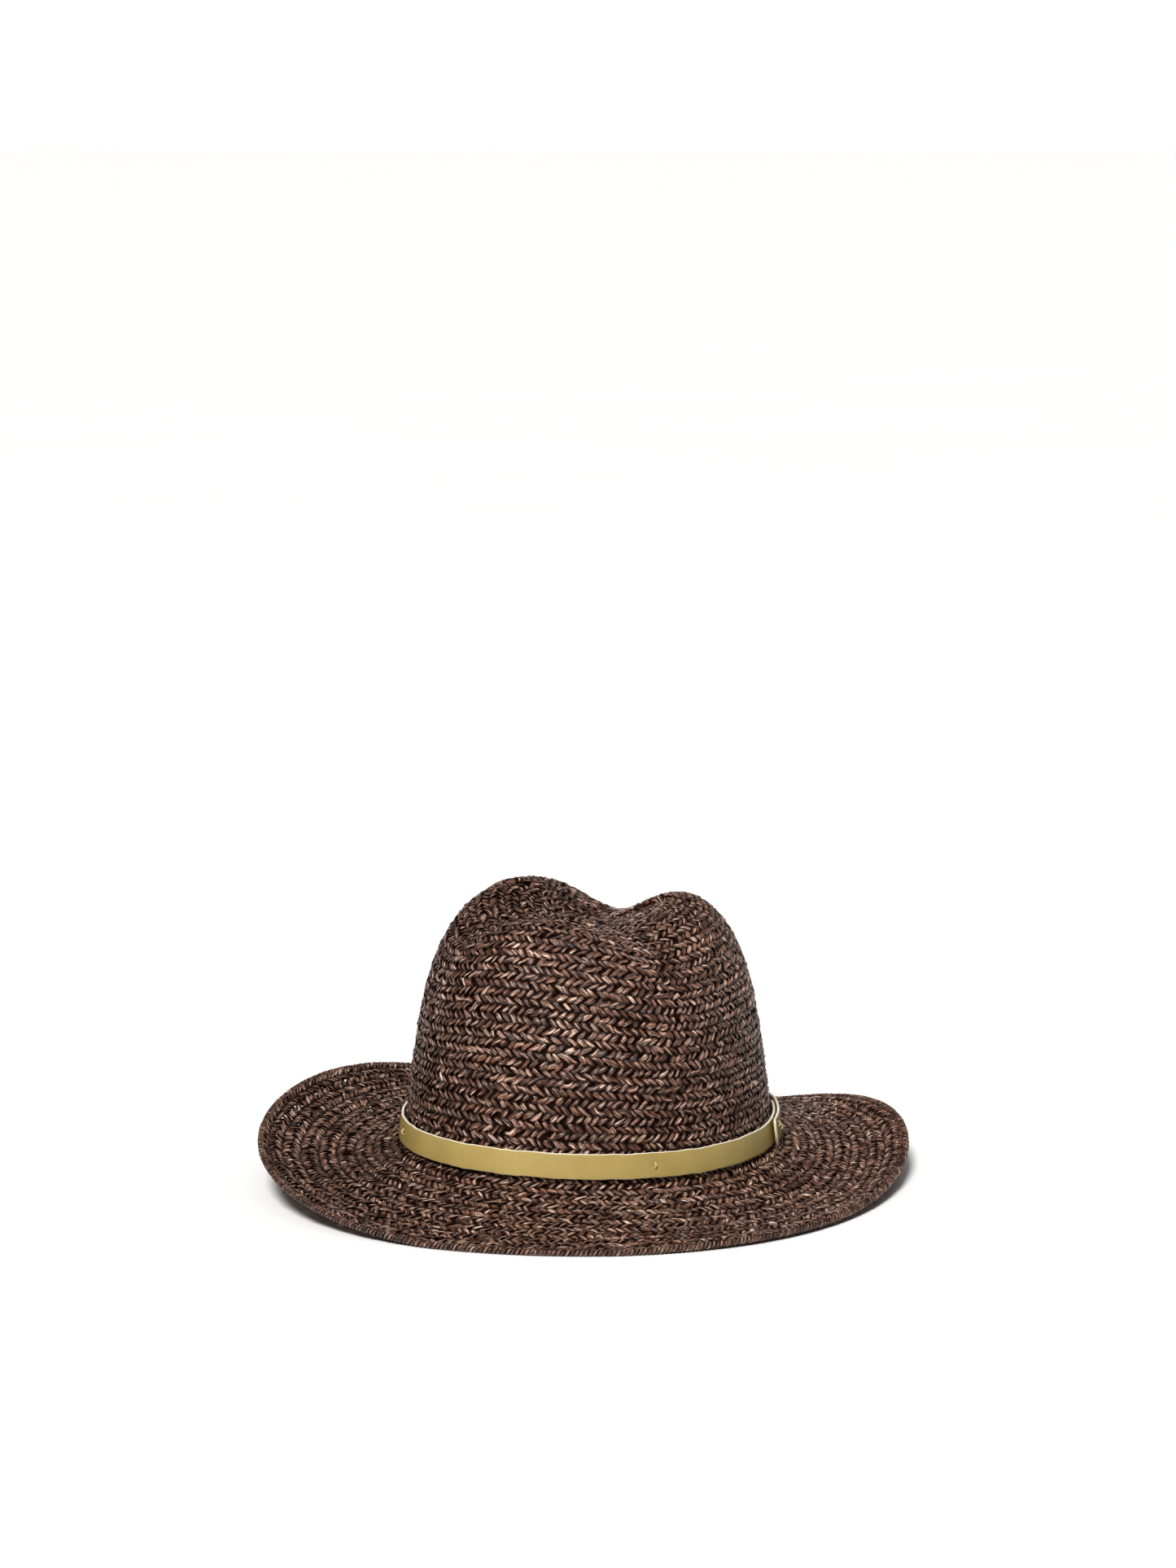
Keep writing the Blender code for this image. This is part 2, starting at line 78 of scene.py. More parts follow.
@dataclass(frozen=True)
class HatBlock:
    """Rules for the hat's surfaces: what a hatter's block and brim iron give it."""

    head_half_width: float = 0.0820
    head_half_length: float = 0.1020
    headline_height: float = 0.0230
    headline_side_dip: float = 0.0020
    crown_top: float = 0.1393
    crown_taper: float = 0.165
    crown_squareness: float = 4.2
    crown_lean: float = -0.0025
    crease_depth: float = 0.019
    crease_squareness: float = 1.2
    crease_middle: float = 0.012
    crease_front: tuple[float, float] = (0.062, 0.030)
    crease_back: tuple[float, float] = (0.095, 0.025)
    crease_fade: tuple[float, float] = (0.40, 0.85)
    pinch_depth: float = 0.009
    pinch_place: tuple[float, float] = (0.038, -0.038)
    pinch_radius: float = 0.022
    left_hump_drop: float = 0.003
    left_hump_blend: float = 0.02
    brim_droop: float = 0.003
    brim_side_droop: float = 0.007
    brim_droop_lean: float = 0.4
    edge_half_width: float = 0.1452
    edge_half_length: float = 0.1625
    edge_width_wave: float = -0.0016
    edge_length_wave: float = 0.0030
    edge_centre: tuple[float, float] = (-0.0013, -0.0010)
    edge_height: float = 0.0140
    edge_cos_waves: tuple[float, ...] = (-0.0037, 0.0090, -0.0028, -0.0019)
    edge_sin_waves: tuple[float, ...] = (0.0011, 0.0017, 0.0038)
    rest_pitch: float = 0.0171
    rest_roll: float = 0.0265
    edge_flattened: float = 0.0010
    cord_radius: float = 0.0015
    cord_sides: int = 8
    brim_tuck: float = 0.8
    brim_top_lift: float = 0.0011

    def headline(self, angle: np.ndarray) -> np.ndarray:
        """Height of the joint between crown and brim, lower at the sides by a squared cosine."""
        return self.headline_height - self.headline_side_dip * np.cos(angle) ** 2

    def crown(self, angle: np.ndarray, rise: np.ndarray) -> np.ndarray:
        """Crown before the hat is set down.

        A tapering superellipse dome. A centre crease, a bell curve across and a flat-topped one along, and
        two round finger pinches in front are pressed into its top.

        Args:
            angle: Angles round the hat.
            rise: 0 at the headline and 1 at the middle of the top.

        Returns:
            Points, with x, y and z last.
        """
        power = self.crown_squareness
        reach = (1.0 - np.minimum(np.abs(rise), 1.0) ** power) ** (1.0 / power)
        reach = reach * (1.0 - self.crown_taper * rise)
        x = self.head_half_width * reach * np.cos(angle)
        y = self.head_half_length * reach * np.sin(angle)
        base = self.headline(angle)
        z = base + (self.crown_top - base) * rise
        fade = eased(rise, *self.crease_fade)
        front = y < self.crease_middle
        reach_along = np.where(front, self.crease_front[0], self.crease_back[0])
        width = np.where(front, self.crease_front[1], self.crease_back[1])
        along = (y - self.crease_middle) / reach_along
        bell = np.exp(-((x / width) ** 2)) * np.exp(-self.crease_squareness * along**4)
        z = z - self.crease_depth * fade * bell
        for side in (-1.0, 1.0):
            away = (x - side * self.pinch_place[0]) ** 2 + (y - self.pinch_place[1]) ** 2
            z = z - self.pinch_depth * fade * np.exp(-away / self.pinch_radius**2)
        leftness = 0.5 * (1.0 + np.tanh(x / self.left_hump_blend))
        z = z - self.left_hump_drop * np.abs(rise) ** 4 * leftness
        return np.stack([x + self.crown_lean * rise, y, z], -1)

    def raw_edge(self, angle: np.ndarray) -> np.ndarray:
        """Brim edge before the hat is set down: an oval with a few waves in width, length and height.

        Args:
            angle: Angles round the hat.

        Returns:
            Points, with x, y and z last.
        """
        x = self.edge_centre[0] + self.edge_half_width * np.cos(angle)
        y = self.edge_centre[1] + self.edge_half_length * np.sin(angle)
        x = x + self.edge_width_wave * np.cos(3 * angle)
        y = y + self.edge_length_wave * np.sin(3 * angle)
        z = np.full_like(x, self.edge_height)
        for turns, wave in enumerate(self.edge_cos_waves, start=1):
            z = z + wave * np.cos(turns * angle)
        for turns, wave in enumerate(self.edge_sin_waves, start=1):
            z = z + wave * np.sin(turns * angle)
        return np.stack([x, y, z], -1)

    def tilt(self, points: np.ndarray) -> np.ndarray:
        """Turn points by the small roll and then the small pitch at which the hat rests.

        Args:
            points: Points before the hat is set down.

        Returns:
            The turned points.
        """
        x, y, z = points[..., 0], points[..., 1], points[..., 2]
        c, s = math.cos(self.rest_roll), math.sin(self.rest_roll)
        x, z = x * c + z * s, z * c - x * s
        c, s = math.cos(self.rest_pitch), math.sin(self.rest_pitch)
        y, z = y * c - z * s, z * c + y * s
        return np.stack([x, y, z], -1)

    @property
    def floor_line(self) -> float:
        """Height of the edge cord's middle where it lies flat."""
        return self.cord_radius * math.cos(math.pi / self.cord_sides)

    def shift(self) -> np.ndarray:
        """Work out how far the tilted hat moves to stand on z = 0 with its edge centred on the origin.

        Returns:
            The move in x, y and z.
        """
        edge = self.tilt(self.raw_edge(np.arange(720) * (TURN / 720)))
        middle = (edge.max(axis=0) + edge.min(axis=0)) / 2.0
        lowest = self.floor_line - self.edge_flattened - edge[:, 2].min()
        return np.array([-middle[0], -middle[1], lowest])

    def settle(self, points: np.ndarray) -> np.ndarray:
        """Set points of the hat down in their rest place."""
        return self.tilt(points) + self.shift()

    def edge(self, angle: np.ndarray) -> np.ndarray:
        """Middle of the brim's edge cord at rest, no lower than where it lies flat.

        Args:
            angle: Angles round the hat.

        Returns:
            Points, with x, y and z last.
        """
        points = self.settle(self.raw_edge(angle))
        points[..., 2] = np.maximum(points[..., 2], self.floor_line)
        return points

    @staticmethod
    def pressed(points: np.ndarray) -> np.ndarray:
        """Flatten what would sink into the surface that the hat rests on."""
        points[..., 2] = np.maximum(points[..., 2], FLOOR_GAP)
        return points

    def edge_outward(self, angle: np.ndarray) -> np.ndarray:
        """Horizontal unit vector out of the brim, square to its edge.

        Args:
            angle: Angles round the hat.

        Returns:
            Vectors, with x, y and z last.
        """
        along = self.edge(angle + 1e-3) - self.edge(angle - 1e-3)
        return unit(np.stack([along[..., 1], -along[..., 0], np.zeros_like(along[..., 0])], -1))

    def brim(self, angle: np.ndarray, share: np.ndarray) -> np.ndarray:
        """Top of the brim at rest: straight from headline to edge, less a droop.

        Args:
            angle: Angles round the hat.
            share: 0 at the headline and 1 at the edge cord.

        Returns:
            Points, with x, y and z last.
        """
        inner = np.stack([
            self.head_half_width * np.cos(angle), self.head_half_length * np.sin(angle), self.headline(angle)
        ], -1)
        outer = self.edge(angle) - self.brim_tuck * self.cord_radius * self.edge_outward(angle)
        outer[..., 2] += self.brim_top_lift
        points = self.settle(inner) * (1.0 - share)[..., None] + outer * share[..., None]
        droop = self.brim_droop + self.brim_side_droop * np.cos(angle) ** 2
        lean = 1.0 - self.brim_droop_lean * (1.0 - share)
        points[..., 2] -= droop * 4.0 * share * (1.0 - share) * lean
        return points

    def wall(self, angle: np.ndarray, height: np.ndarray, outward: np.ndarray) -> np.ndarray:
        """Points at a height above the headline, moved outward from the crown's face.

        Args:
            angle: Angles round the hat.
            height: Heights above the headline.
            outward: Distances from the crown's outer face, negative towards the head.

        Returns:
            Points at rest, with x, y and z last.
        """
        angle, height, outward = np.broadcast_arrays(angle, height, outward)
        rise = height / (self.crown_top - self.headline(angle))
        around = self.crown(angle + 1e-4, rise) - self.crown(angle - 1e-4, rise)
        upward = self.crown(angle, rise + 1e-4) - self.crown(angle, rise - 1e-4)
        return self.settle(self.crown(angle, rise) + outward[..., None] * unit(np.cross(around, upward)))


class CourseSurface:
    """A course is one turn of the braid. Courses are spaced evenly along the profile at each angle, from the
    middle of the crown's top (0), past the headline (crown_courses), to the brim's edge (all courses).
    """

    ROWS = 24
    COLUMNS = 768
    PROFILE = 420
    LOWEST = 0.0027
    ALMOST_ONE = 0.999999

    def __init__(self, block: HatBlock, crown_courses: int, brim_courses: int, fillet: float) -> None:
        """Tabulate the surface.

        Args:
            block: Shape of the hat.
            crown_courses: Turns of braid from the middle of the top to the headline.
            brim_courses: Turns of braid from the headline to the edge.
            fillet: Spread, in metres, of the rounding where the crown turns into the brim.
        """
        self.courses = crown_courses + brim_courses
        angle = np.arange(self.COLUMNS) * (TURN / self.COLUMNS)
        turn = np.linspace(0.0, math.pi / 2, self.PROFILE)
        rise = np.cos(turn) ** (2.0 / block.crown_squareness)
        crown = block.settle(block.crown(*np.meshgrid(angle, rise)))
        crown = self._even(crown, crown_courses * self.ROWS)
        share = np.linspace(0.0, 1.0, self.PROFILE)
        brim = self._even(block.brim(*np.meshgrid(angle, share)), brim_courses * self.ROWS)
        points = self._rounded(np.concatenate([crown, brim[1:]]), crown_courses, fillet)
        points[..., 2] = np.maximum(points[..., 2], self.LOWEST)
        down = np.gradient(points, axis=0)
        around = np.roll(points, -1, axis=1) - np.roll(points, 1, axis=1)
        normal = np.cross(down, around)
        normal[0] = normal[1:4].mean(axis=(0, 1))
        self.points = points
        self.normals = unit(normal)

    def _even(self, points: np.ndarray, rows: int) -> np.ndarray:
        """Resample each column of a grid of points so that its rows are evenly spaced along it.

        Args:
            points: Grid of points.
            rows: How many equal steps each column gets.

        Returns:
            The new grid, with one row more than its steps.
        """
        step = np.linalg.norm(np.diff(points, axis=0), axis=-1)
        length = np.concatenate([np.zeros((1, step.shape[1])), np.cumsum(step, axis=0)])
        columns = np.arange(points.shape[1])
        known = (length / length[-1] * self.ALMOST_ONE + columns).T.ravel()
        wanted = (np.linspace(0.0, self.ALMOST_ONE, rows + 1)[:, None] + columns).T.ravel()
        found = [np.interp(wanted, known, points[..., axis].T.ravel()) for axis in range(3)]
        return np.stack(found, -1).reshape(len(columns), rows + 1, 3).transpose(1, 0, 2)

    def _rounded(self, points: np.ndarray, crown_courses: int, fillet: float) -> np.ndarray:
        """Smooth the rows with a bell-shaped average that acts only near the headline.

        Args:
            points: Grid of points.
            crown_courses: Course at which the crown turns into the brim.
            fillet: Spread of the average, in metres.

        Returns:
            The smoothed grid.
        """
        corner = crown_courses * self.ROWS
        spacing = np.linalg.norm(points[corner] - points[corner - 1], axis=-1).mean()
        spread = fillet / spacing
        reach = int(3 * spread)
        offsets = np.arange(-reach, reach + 1)
        weights = np.exp(-0.5 * (offsets / spread) ** 2)
        weights /= weights.sum()
        rows = np.arange(corner - 4 * reach, corner + 4 * reach)
        smooth = sum(weight * points[rows + offset] for weight, offset in zip(weights, offsets))
        near = np.exp(-(((rows - corner) / (2.0 * reach)) ** 4))[:, None, None]
        result = points.copy()
        result[rows] = smooth * near + points[rows] * (1.0 - near)
        return result

    def look_up(self, angle: np.ndarray, course: np.ndarray) -> tuple[np.ndarray, np.ndarray]:
        """Read the surface between the table's entries in both directions.

        Args:
            angle: Angles round the hat.
            course: Courses from the middle of the top; a negative one lies across that middle.

        Returns:
            Points and unit normals.
        """
        angle = np.where(course < 0.0, angle + math.pi, angle)
        column = np.mod(angle / TURN, 1.0) * self.COLUMNS
        row = np.clip(np.abs(course), 0.0, self.courses) * self.ROWS
        left = np.floor(column).astype(int)
        top = np.minimum(np.floor(row).astype(int), len(self.points) - 2)
        right = (left + 1) % self.COLUMNS
        across, down = (column - left)[..., None], (row - top)[..., None]
        left = left % self.COLUMNS

        def read(table: np.ndarray) -> np.ndarray:
            """Weighted mean of the four entries around each place."""
            upper = table[top, left] * (1.0 - across) + table[top, right] * across
            lower = table[top + 1, left] * (1.0 - across) + table[top + 1, right] * across
            return upper * (1.0 - down) + lower * down

        return read(self.points), unit(read(self.normals))


# Mesh helpers ------------------------------------------------------------------------------------------


@dataclass
class Patch:
    """One grid of quads: rows run along a path and columns round its closed section."""

    points: np.ndarray
    along: np.ndarray
    values: dict[str, np.ndarray]
    closed_rows: bool = False


def quads_of(patch: Patch, first: int) -> np.ndarray:
    """Number the corners of a patch's quads, which face away from its section's middle.

    Args:
        patch: The patch.
        first: Number of its first point in the mesh.

    Returns:
        Four point numbers for each quad.
    """
    rows, columns = patch.points.shape[:2]
    numbers = np.arange(rows * columns).reshape(rows, columns) + first
    after = np.roll(numbers, -1, axis=0) if patch.closed_rows else numbers[1:]
    here = numbers if patch.closed_rows else numbers[:-1]
    side_here, side_after = np.roll(here, -1, axis=1), np.roll(after, -1, axis=1)
    return np.stack([here, after, side_after, side_here], -1).reshape(-1, 4)


def corner_uvs(patch: Patch) -> np.ndarray:
    """Place each quad corner in the UV map: length along the path in centimetres, and share of the way
    round the section.

    Args:
        patch: The patch.

    Returns:
        One pair for each corner, in the order of quads_of.
    """
    rows, columns = patch.points.shape[:2]
    u = np.broadcast_to(patch.along[:, None] * CENTIMETRES, (rows, columns))
    if patch.closed_rows:
        step = u[1] - u[0]
        u_here, u_after = u, u + step
    else:
        u_here, u_after = u[:-1], u[1:]
    v_here = np.broadcast_to(np.arange(columns) / columns, u_here.shape)
    v_after = v_here + 1.0 / columns
    corners = [(u_here, v_here), (u_after, v_here), (u_after, v_after), (u_here, v_after)]
    return np.stack([np.stack(corner, -1) for corner in corners], -2).reshape(-1, 2)


def mesh_from_patches(name: str, patches: list[Patch]) -> bpy.types.Object:
    """Make one smooth-shaded object of many closed patches.

    Args:
        name: Name of the object.
        patches: Grids of points; each is closed round its columns, and open ends are capped.

    Returns:
        The new object, linked to the scene.
    """
    vertices, quads, uvs, caps, cap_uvs = [], [], [], [], []
    values: dict[str, list[np.ndarray]] = {key: [] for key in patches[0].values}
    first = 0
    for patch in patches:
        rows, columns = patch.points.shape[:2]
        vertices.append(patch.points.reshape(-1, 3))
        quads.append(quads_of(patch, first))
        uvs.append(corner_uvs(patch))
        for key, value in patch.values.items():
            values[key].append(np.broadcast_to(value, (rows, columns)).reshape(-1))
        if not patch.closed_rows:
            start = first + np.arange(columns)
            caps.extend([start, first + (rows - 1) * columns + np.arange(columns)[::-1]])
            cap_uvs.extend([np.full((columns, 2), patch.along[0] * CENTIMETRES)] * 2)
        first += rows * columns
    quad_corners = np.concatenate(quads).reshape(-1)
    corners = np.concatenate([quad_corners, *caps]) if caps else quad_corners
    sizes = np.concatenate([np.full(len(quad_corners) // 4, 4), np.array([len(cap) for cap in caps], int)])
    mesh = bpy.data.meshes.new(name)
    mesh.vertices.add(first)
    mesh.vertices.foreach_set("co", np.concatenate(vertices).astype(np.float32).ravel())
    mesh.loops.add(len(corners))
    mesh.loops.foreach_set("vertex_index", corners.astype(np.int32))
    mesh.polygons.add(len(sizes))
    starts = np.concatenate([[0], np.cumsum(sizes)[:-1]])
    mesh.polygons.foreach_set("loop_start", starts.astype(np.int32))
    mesh.polygons.foreach_set("use_smooth", np.full(len(sizes), True))
    layer = mesh.uv_layers.new(name=UV_MAP)
    all_uvs = np.concatenate([*uvs, *cap_uvs]) if cap_uvs else np.concatenate(uvs)
    layer.data.foreach_set("uv", all_uvs.astype(np.float32).ravel())
    for key, value in values.items():
        attribute = mesh.attributes.new(key, "FLOAT", "POINT")
        attribute.data.foreach_set("value", np.concatenate(value).astype(np.float32))
    mesh.update(calc_edges=True)
    mesh.validate()
    made = bpy.data.objects.new(name, mesh)
    bpy.context.scene.collection.objects.link(made)
    return made


def tube(
    path: np.ndarray, normal: np.ndarray, section: np.ndarray, turn: np.ndarray, closed: bool = False
) -> np.ndarray:
    """Carry a section along a path.

    The section's first axis lies across the path and its second along the given normal, both turned about
    the path by turn.

    Args:
        path: Points of the path, one row each.
        normal: Unit vectors that the section's second axis leans towards.
        section: Section points for each row, with their two coordinates last.
        turn: Angle of the section about the path for each row.
        closed: Whether the path closes on itself.

    Returns:
        Grid of points, rows along the path and columns round the section.
    """
    if closed:
        tangent = np.roll(path, -1, axis=0) - np.roll(path, 1, axis=0)
    else:
        tangent = np.gradient(path, axis=0)
    tangent = unit(tangent)
    across = unit(np.cross(tangent, normal))
    lift = np.cross(across, tangent)
    c, s = np.cos(turn)[:, None], np.sin(turn)[:, None]
    first, second = across * c + lift * s, lift * c - across * s
    return path[:, None] + section[..., :1] * first[:, None] + section[..., 1:] * second[:, None]


def lens(sides: int, half_width: np.ndarray, half_thickness: np.ndarray) -> np.ndarray:
    """Oval sections with a corner at the top of each.

    Args:
        sides: Number of sides.
        half_width: Half the width of each row's section.
        half_thickness: Half its thickness.

    Returns:
        Section points for each row, with their two coordinates last.
    """
    around = math.pi / 2 + np.arange(sides) * (TURN / sides)
    return np.stack([
        half_width[:, None] * np.cos(around), half_thickness[:, None] * np.sin(around)
    ], -1)


class Wander:
    """Smooth unevenness along a length: a sum of sine waves with seeded phases."""

    SLOWEST, FASTEST = 0.45, 1.6
    LEVEL = 0.7

    def __init__(self, seed: int, spacing: float, waves: int = 6) -> None:
        """Choose the waves.

        Args:
            seed: Seed of the random phases.
            spacing: Typical length of one swell, in metres.
            waves: How many waves are summed.
        """
        random = np.random.default_rng(seed)
        self.rates = TURN / spacing * random.uniform(self.SLOWEST, self.FASTEST, waves)
        self.phases = random.uniform(0.0, TURN, waves)
        self.scale = math.sqrt(2.0 / waves)

    def at(self, length: np.ndarray) -> np.ndarray:
        """Value near -1 to 1 at each length."""
        waves = np.sin(length[..., None] * self.rates + self.phases)
        return waves.sum(axis=-1) * self.scale * self.LEVEL


# Materials ---------------------------------------------------------------------------------------------


class Graph:
    """Short way to lay out shader nodes in a tree."""

    def __init__(self, tree: bpy.types.NodeTree) -> None:
        """Keep the tree to build in."""
        self.tree = tree

    def node(self, kind: str, inputs: dict | None = None, **settings: object) -> bpy.types.Node:
        """Add a node.

        Args:
            kind: The node's type, such as ShaderNodeMix.
            inputs: Input name or number to a value or to the socket that feeds it.
            settings: Properties of the node.

        Returns:
            The new node.
        """
        made = self.tree.nodes.new(kind)
        for key, value in settings.items():
            setattr(made, key, value)
        for key, value in (inputs or {}).items():
            if isinstance(value, bpy.types.NodeSocket):
                self.tree.links.new(value, made.inputs[key])
            else:
                made.inputs[key].default_value = value
        return made

    def math(
        self, operation: str, first: object, second: object, clamp: bool = False
    ) -> bpy.types.NodeSocket:
        """Add a Math node.

        Args:
            operation: Name of the operation.
            first: First value, or the socket that feeds it.
            second: Second value, or the socket that feeds it.
            clamp: Whether the result is kept between 0 and 1.

        Returns:
            The result's socket.
        """
        made = self.node("ShaderNodeMath", {0: first, 1: second}, operation=operation, use_clamp=clamp)
        return made.outputs[0]

    def total(self, first: object, second: object, clamp: bool = False) -> bpy.types.NodeSocket:
        """Sum of two values."""
        return self.math("ADD", first, second, clamp)

    def times(self, first: object, second: object) -> bpy.types.NodeSocket:
        """Product of two values."""
        return self.math("MULTIPLY", first, second)

    def attribute(self, name: str) -> bpy.types.NodeSocket:
        """Value that the mesh keeps under a name."""
        return self.node("ShaderNodeAttribute", attribute_name=name).outputs["Fac"]

    def place(self) -> bpy.types.NodeSocket:
        """Object coordinates."""
        return self.node("ShaderNodeTexCoord").outputs["Object"]

    def strand(self) -> bpy.types.NodeSocket:
        """The piece's own UV map."""
        return self.node("ShaderNodeUVMap", uv_map=UV_MAP).outputs[0]

    def ramp(
        self, value: bpy.types.NodeSocket, stops: tuple[tuple[float, Colour], ...]
    ) -> bpy.types.NodeSocket:
        """Add a Color Ramp.

        Args:
            value: Socket that picks the place on the ramp.
            stops: Place and colour of each stop.

        Returns:
            The colour's socket.
        """
        made = self.node("ShaderNodeValToRGB", {0: value})
        elements = made.color_ramp.elements
        while len(elements) < len(stops):
            elements.new(0.5)
        for element, (place, colour) in zip(elements, stops):
            element.position = place
            element.color = (*colour, 1.0)
        return made.outputs[0]

    def mix(self, factor: object, first: object, second: object) -> bpy.types.NodeSocket:
        """Add a colour mix.

        Args:
            factor: Share of the second colour, or the socket that feeds it.
            first: First colour, or the socket that feeds it.
            second: Second colour, or the socket that feeds it.

        Returns:
            The colour's socket.
        """
        made = self.node("ShaderNodeMix", data_type="RGBA")
        for place, value in ((0, factor), (6, first), (7, second)):
            if isinstance(value, bpy.types.NodeSocket):
                self.tree.links.new(value, made.inputs[place])
            elif place == 0:
                made.inputs[place].default_value = value
            else:
                made.inputs[place].default_value = (*value, 1.0)
        return made.outputs[2]

    def span(
        self, value: bpy.types.NodeSocket, low: float, high: float, start: float = 0.0, end: float = 1.0
    ) -> bpy.types.NodeSocket:
        """Map the values from start to end onto those from low to high, and keep the rest at these limits.

        Args:
            value: Socket of the value.
            low: Result at start.
            high: Result at end.
            start: Value that gives low.
            end: Value that gives high.

        Returns:
            The result's socket.
        """
        return self.node("ShaderNodeMapRange", {0: value, 1: start, 2: end, 3: low, 4: high}).outputs[0]


def make_group(name: str, inputs: dict[str, tuple[str, float]], outputs: tuple[str, ...]) -> tuple:
    """Start a shader node group with value inputs and outputs.

    Args:
        name: Name of the group.
        inputs: Input name to its socket type and first value.
        outputs: Names of its value outputs.

    Returns:
        The group, its Graph, its input node and its output node.
    """
    group = bpy.data.node_groups.new(name, "ShaderNodeTree")
    for key, (kind, value) in inputs.items():
        socket = group.interface.new_socket(key, in_out="INPUT", socket_type=kind)
        if kind == "NodeSocketFloat":
            socket.default_value = value
    for key in outputs:
        group.interface.new_socket(key, in_out="OUTPUT", socket_type="NodeSocketFloat")
    graph = Graph(group)
    return group, graph, graph.node("NodeGroupInput"), graph.node("NodeGroupOutput")


def fibre_group() -> bpy.types.NodeTree:
    """Build streaks that run along a strand: noise stretched along its length, fine and coarse together.

    Returns:
        The group. It puts out the streaks and a mask of the splits between fibres.
    """
    group, graph, given, result = make_group("strand_fibres", {
        "Strand": ("NodeSocketVector", 0.0), "Along": ("NodeSocketFloat", 2.4),
        "Across": ("NodeSocketFloat", 13.0), "Shift": ("NodeSocketFloat", 0.0),
    }, ("Streak", "Split"))
    parts = graph.node("ShaderNodeSeparateXYZ", {0: given.outputs["Strand"]})
    u = graph.times(parts.outputs[0], given.outputs["Along"])
    v = graph.times(parts.outputs[1], given.outputs["Across"])
    w = graph.times(given.outputs["Shift"], 37.0)
    place = graph.node("ShaderNodeCombineXYZ", {0: u, 1: v, 2: w}).outputs[0]
    look = {"Vector": place, "Scale": 1.0, "Detail": 1.5, "Roughness": 0.5}
    fine = graph.node("ShaderNodeTexNoise", look).outputs[0]
    coarse = graph.node("ShaderNodeTexNoise", {"Vector": place, "Scale": 0.28, "Detail": 1.0}).outputs[0]
    both = graph.total(graph.times(fine, 0.75), graph.times(coarse, 0.25))
    graph.tree.links.new(graph.span(both, 0.0, 1.0, 0.36, 0.66), result.inputs["Streak"])
    graph.tree.links.new(graph.span(coarse, 0.0, 1.0, 0.40, 0.47), result.inputs["Split"])
    return group


def blotch_group() -> bpy.types.NodeTree:
    """Build slow unevenness of a dye or a finish over the whole object, from Object coordinates.

    Returns:
        The group. It puts out one mask.
    """
    group, graph, given, result = make_group("uneven_dye", {
        "Place": ("NodeSocketVector", 0.0), "Size": ("NodeSocketFloat", 30.0),
    }, ("Blotch",))
    look = {"Vector": given.outputs["Place"], "Scale": given.outputs["Size"], "Detail": 2.0, "Roughness": 0.5}
    noise = graph.node("ShaderNodeTexNoise", look).outputs[0]
    graph.tree.links.new(graph.span(noise, 0.0, 1.0, 0.32, 0.68), result.inputs["Blotch"])
    return group


class SharedEffects:
    """Node groups that several materials use, each built once."""

    def __init__(self) -> None:
        """Build the groups."""
        self.fibres = fibre_group()
        self.blotches = blotch_group()

    @staticmethod
    def place(graph: Graph, group: bpy.types.NodeTree, inputs: dict) -> bpy.types.Node:
        """Put a group into a material.

        Args:
            graph: Graph of the material.
            group: The group.
            inputs: Input name to a value or to the socket that feeds it.

        Returns:
            The group's node.
        """
        made = graph.node("ShaderNodeGroup")
        made.node_tree = group
        for key, value in inputs.items():
            if isinstance(value, bpy.types.NodeSocket):
                graph.tree.links.new(value, made.inputs[key])
            else:
                made.inputs[key].default_value = value
        return made


def start_material(name: str) -> tuple[bpy.types.Material, Graph, bpy.types.Node]:
    """New node material with its graph and its Principled shader."""
    made = bpy.data.materials.new(name)
    made.use_nodes = True
    return made, Graph(made.node_tree), made.node_tree.nodes["Principled BSDF"]


def connect(graph: Graph, shader: bpy.types.Node, **sockets: bpy.types.NodeSocket) -> None:
    """Feed the shader's colour, roughness, metallic and normal."""
    names = {"colour": "Base Color", "roughness": "Roughness", "metallic": "Metallic", "normal": "Normal"}
    for key, socket in sockets.items():
        graph.tree.links.new(socket, shader.inputs[names[key]])


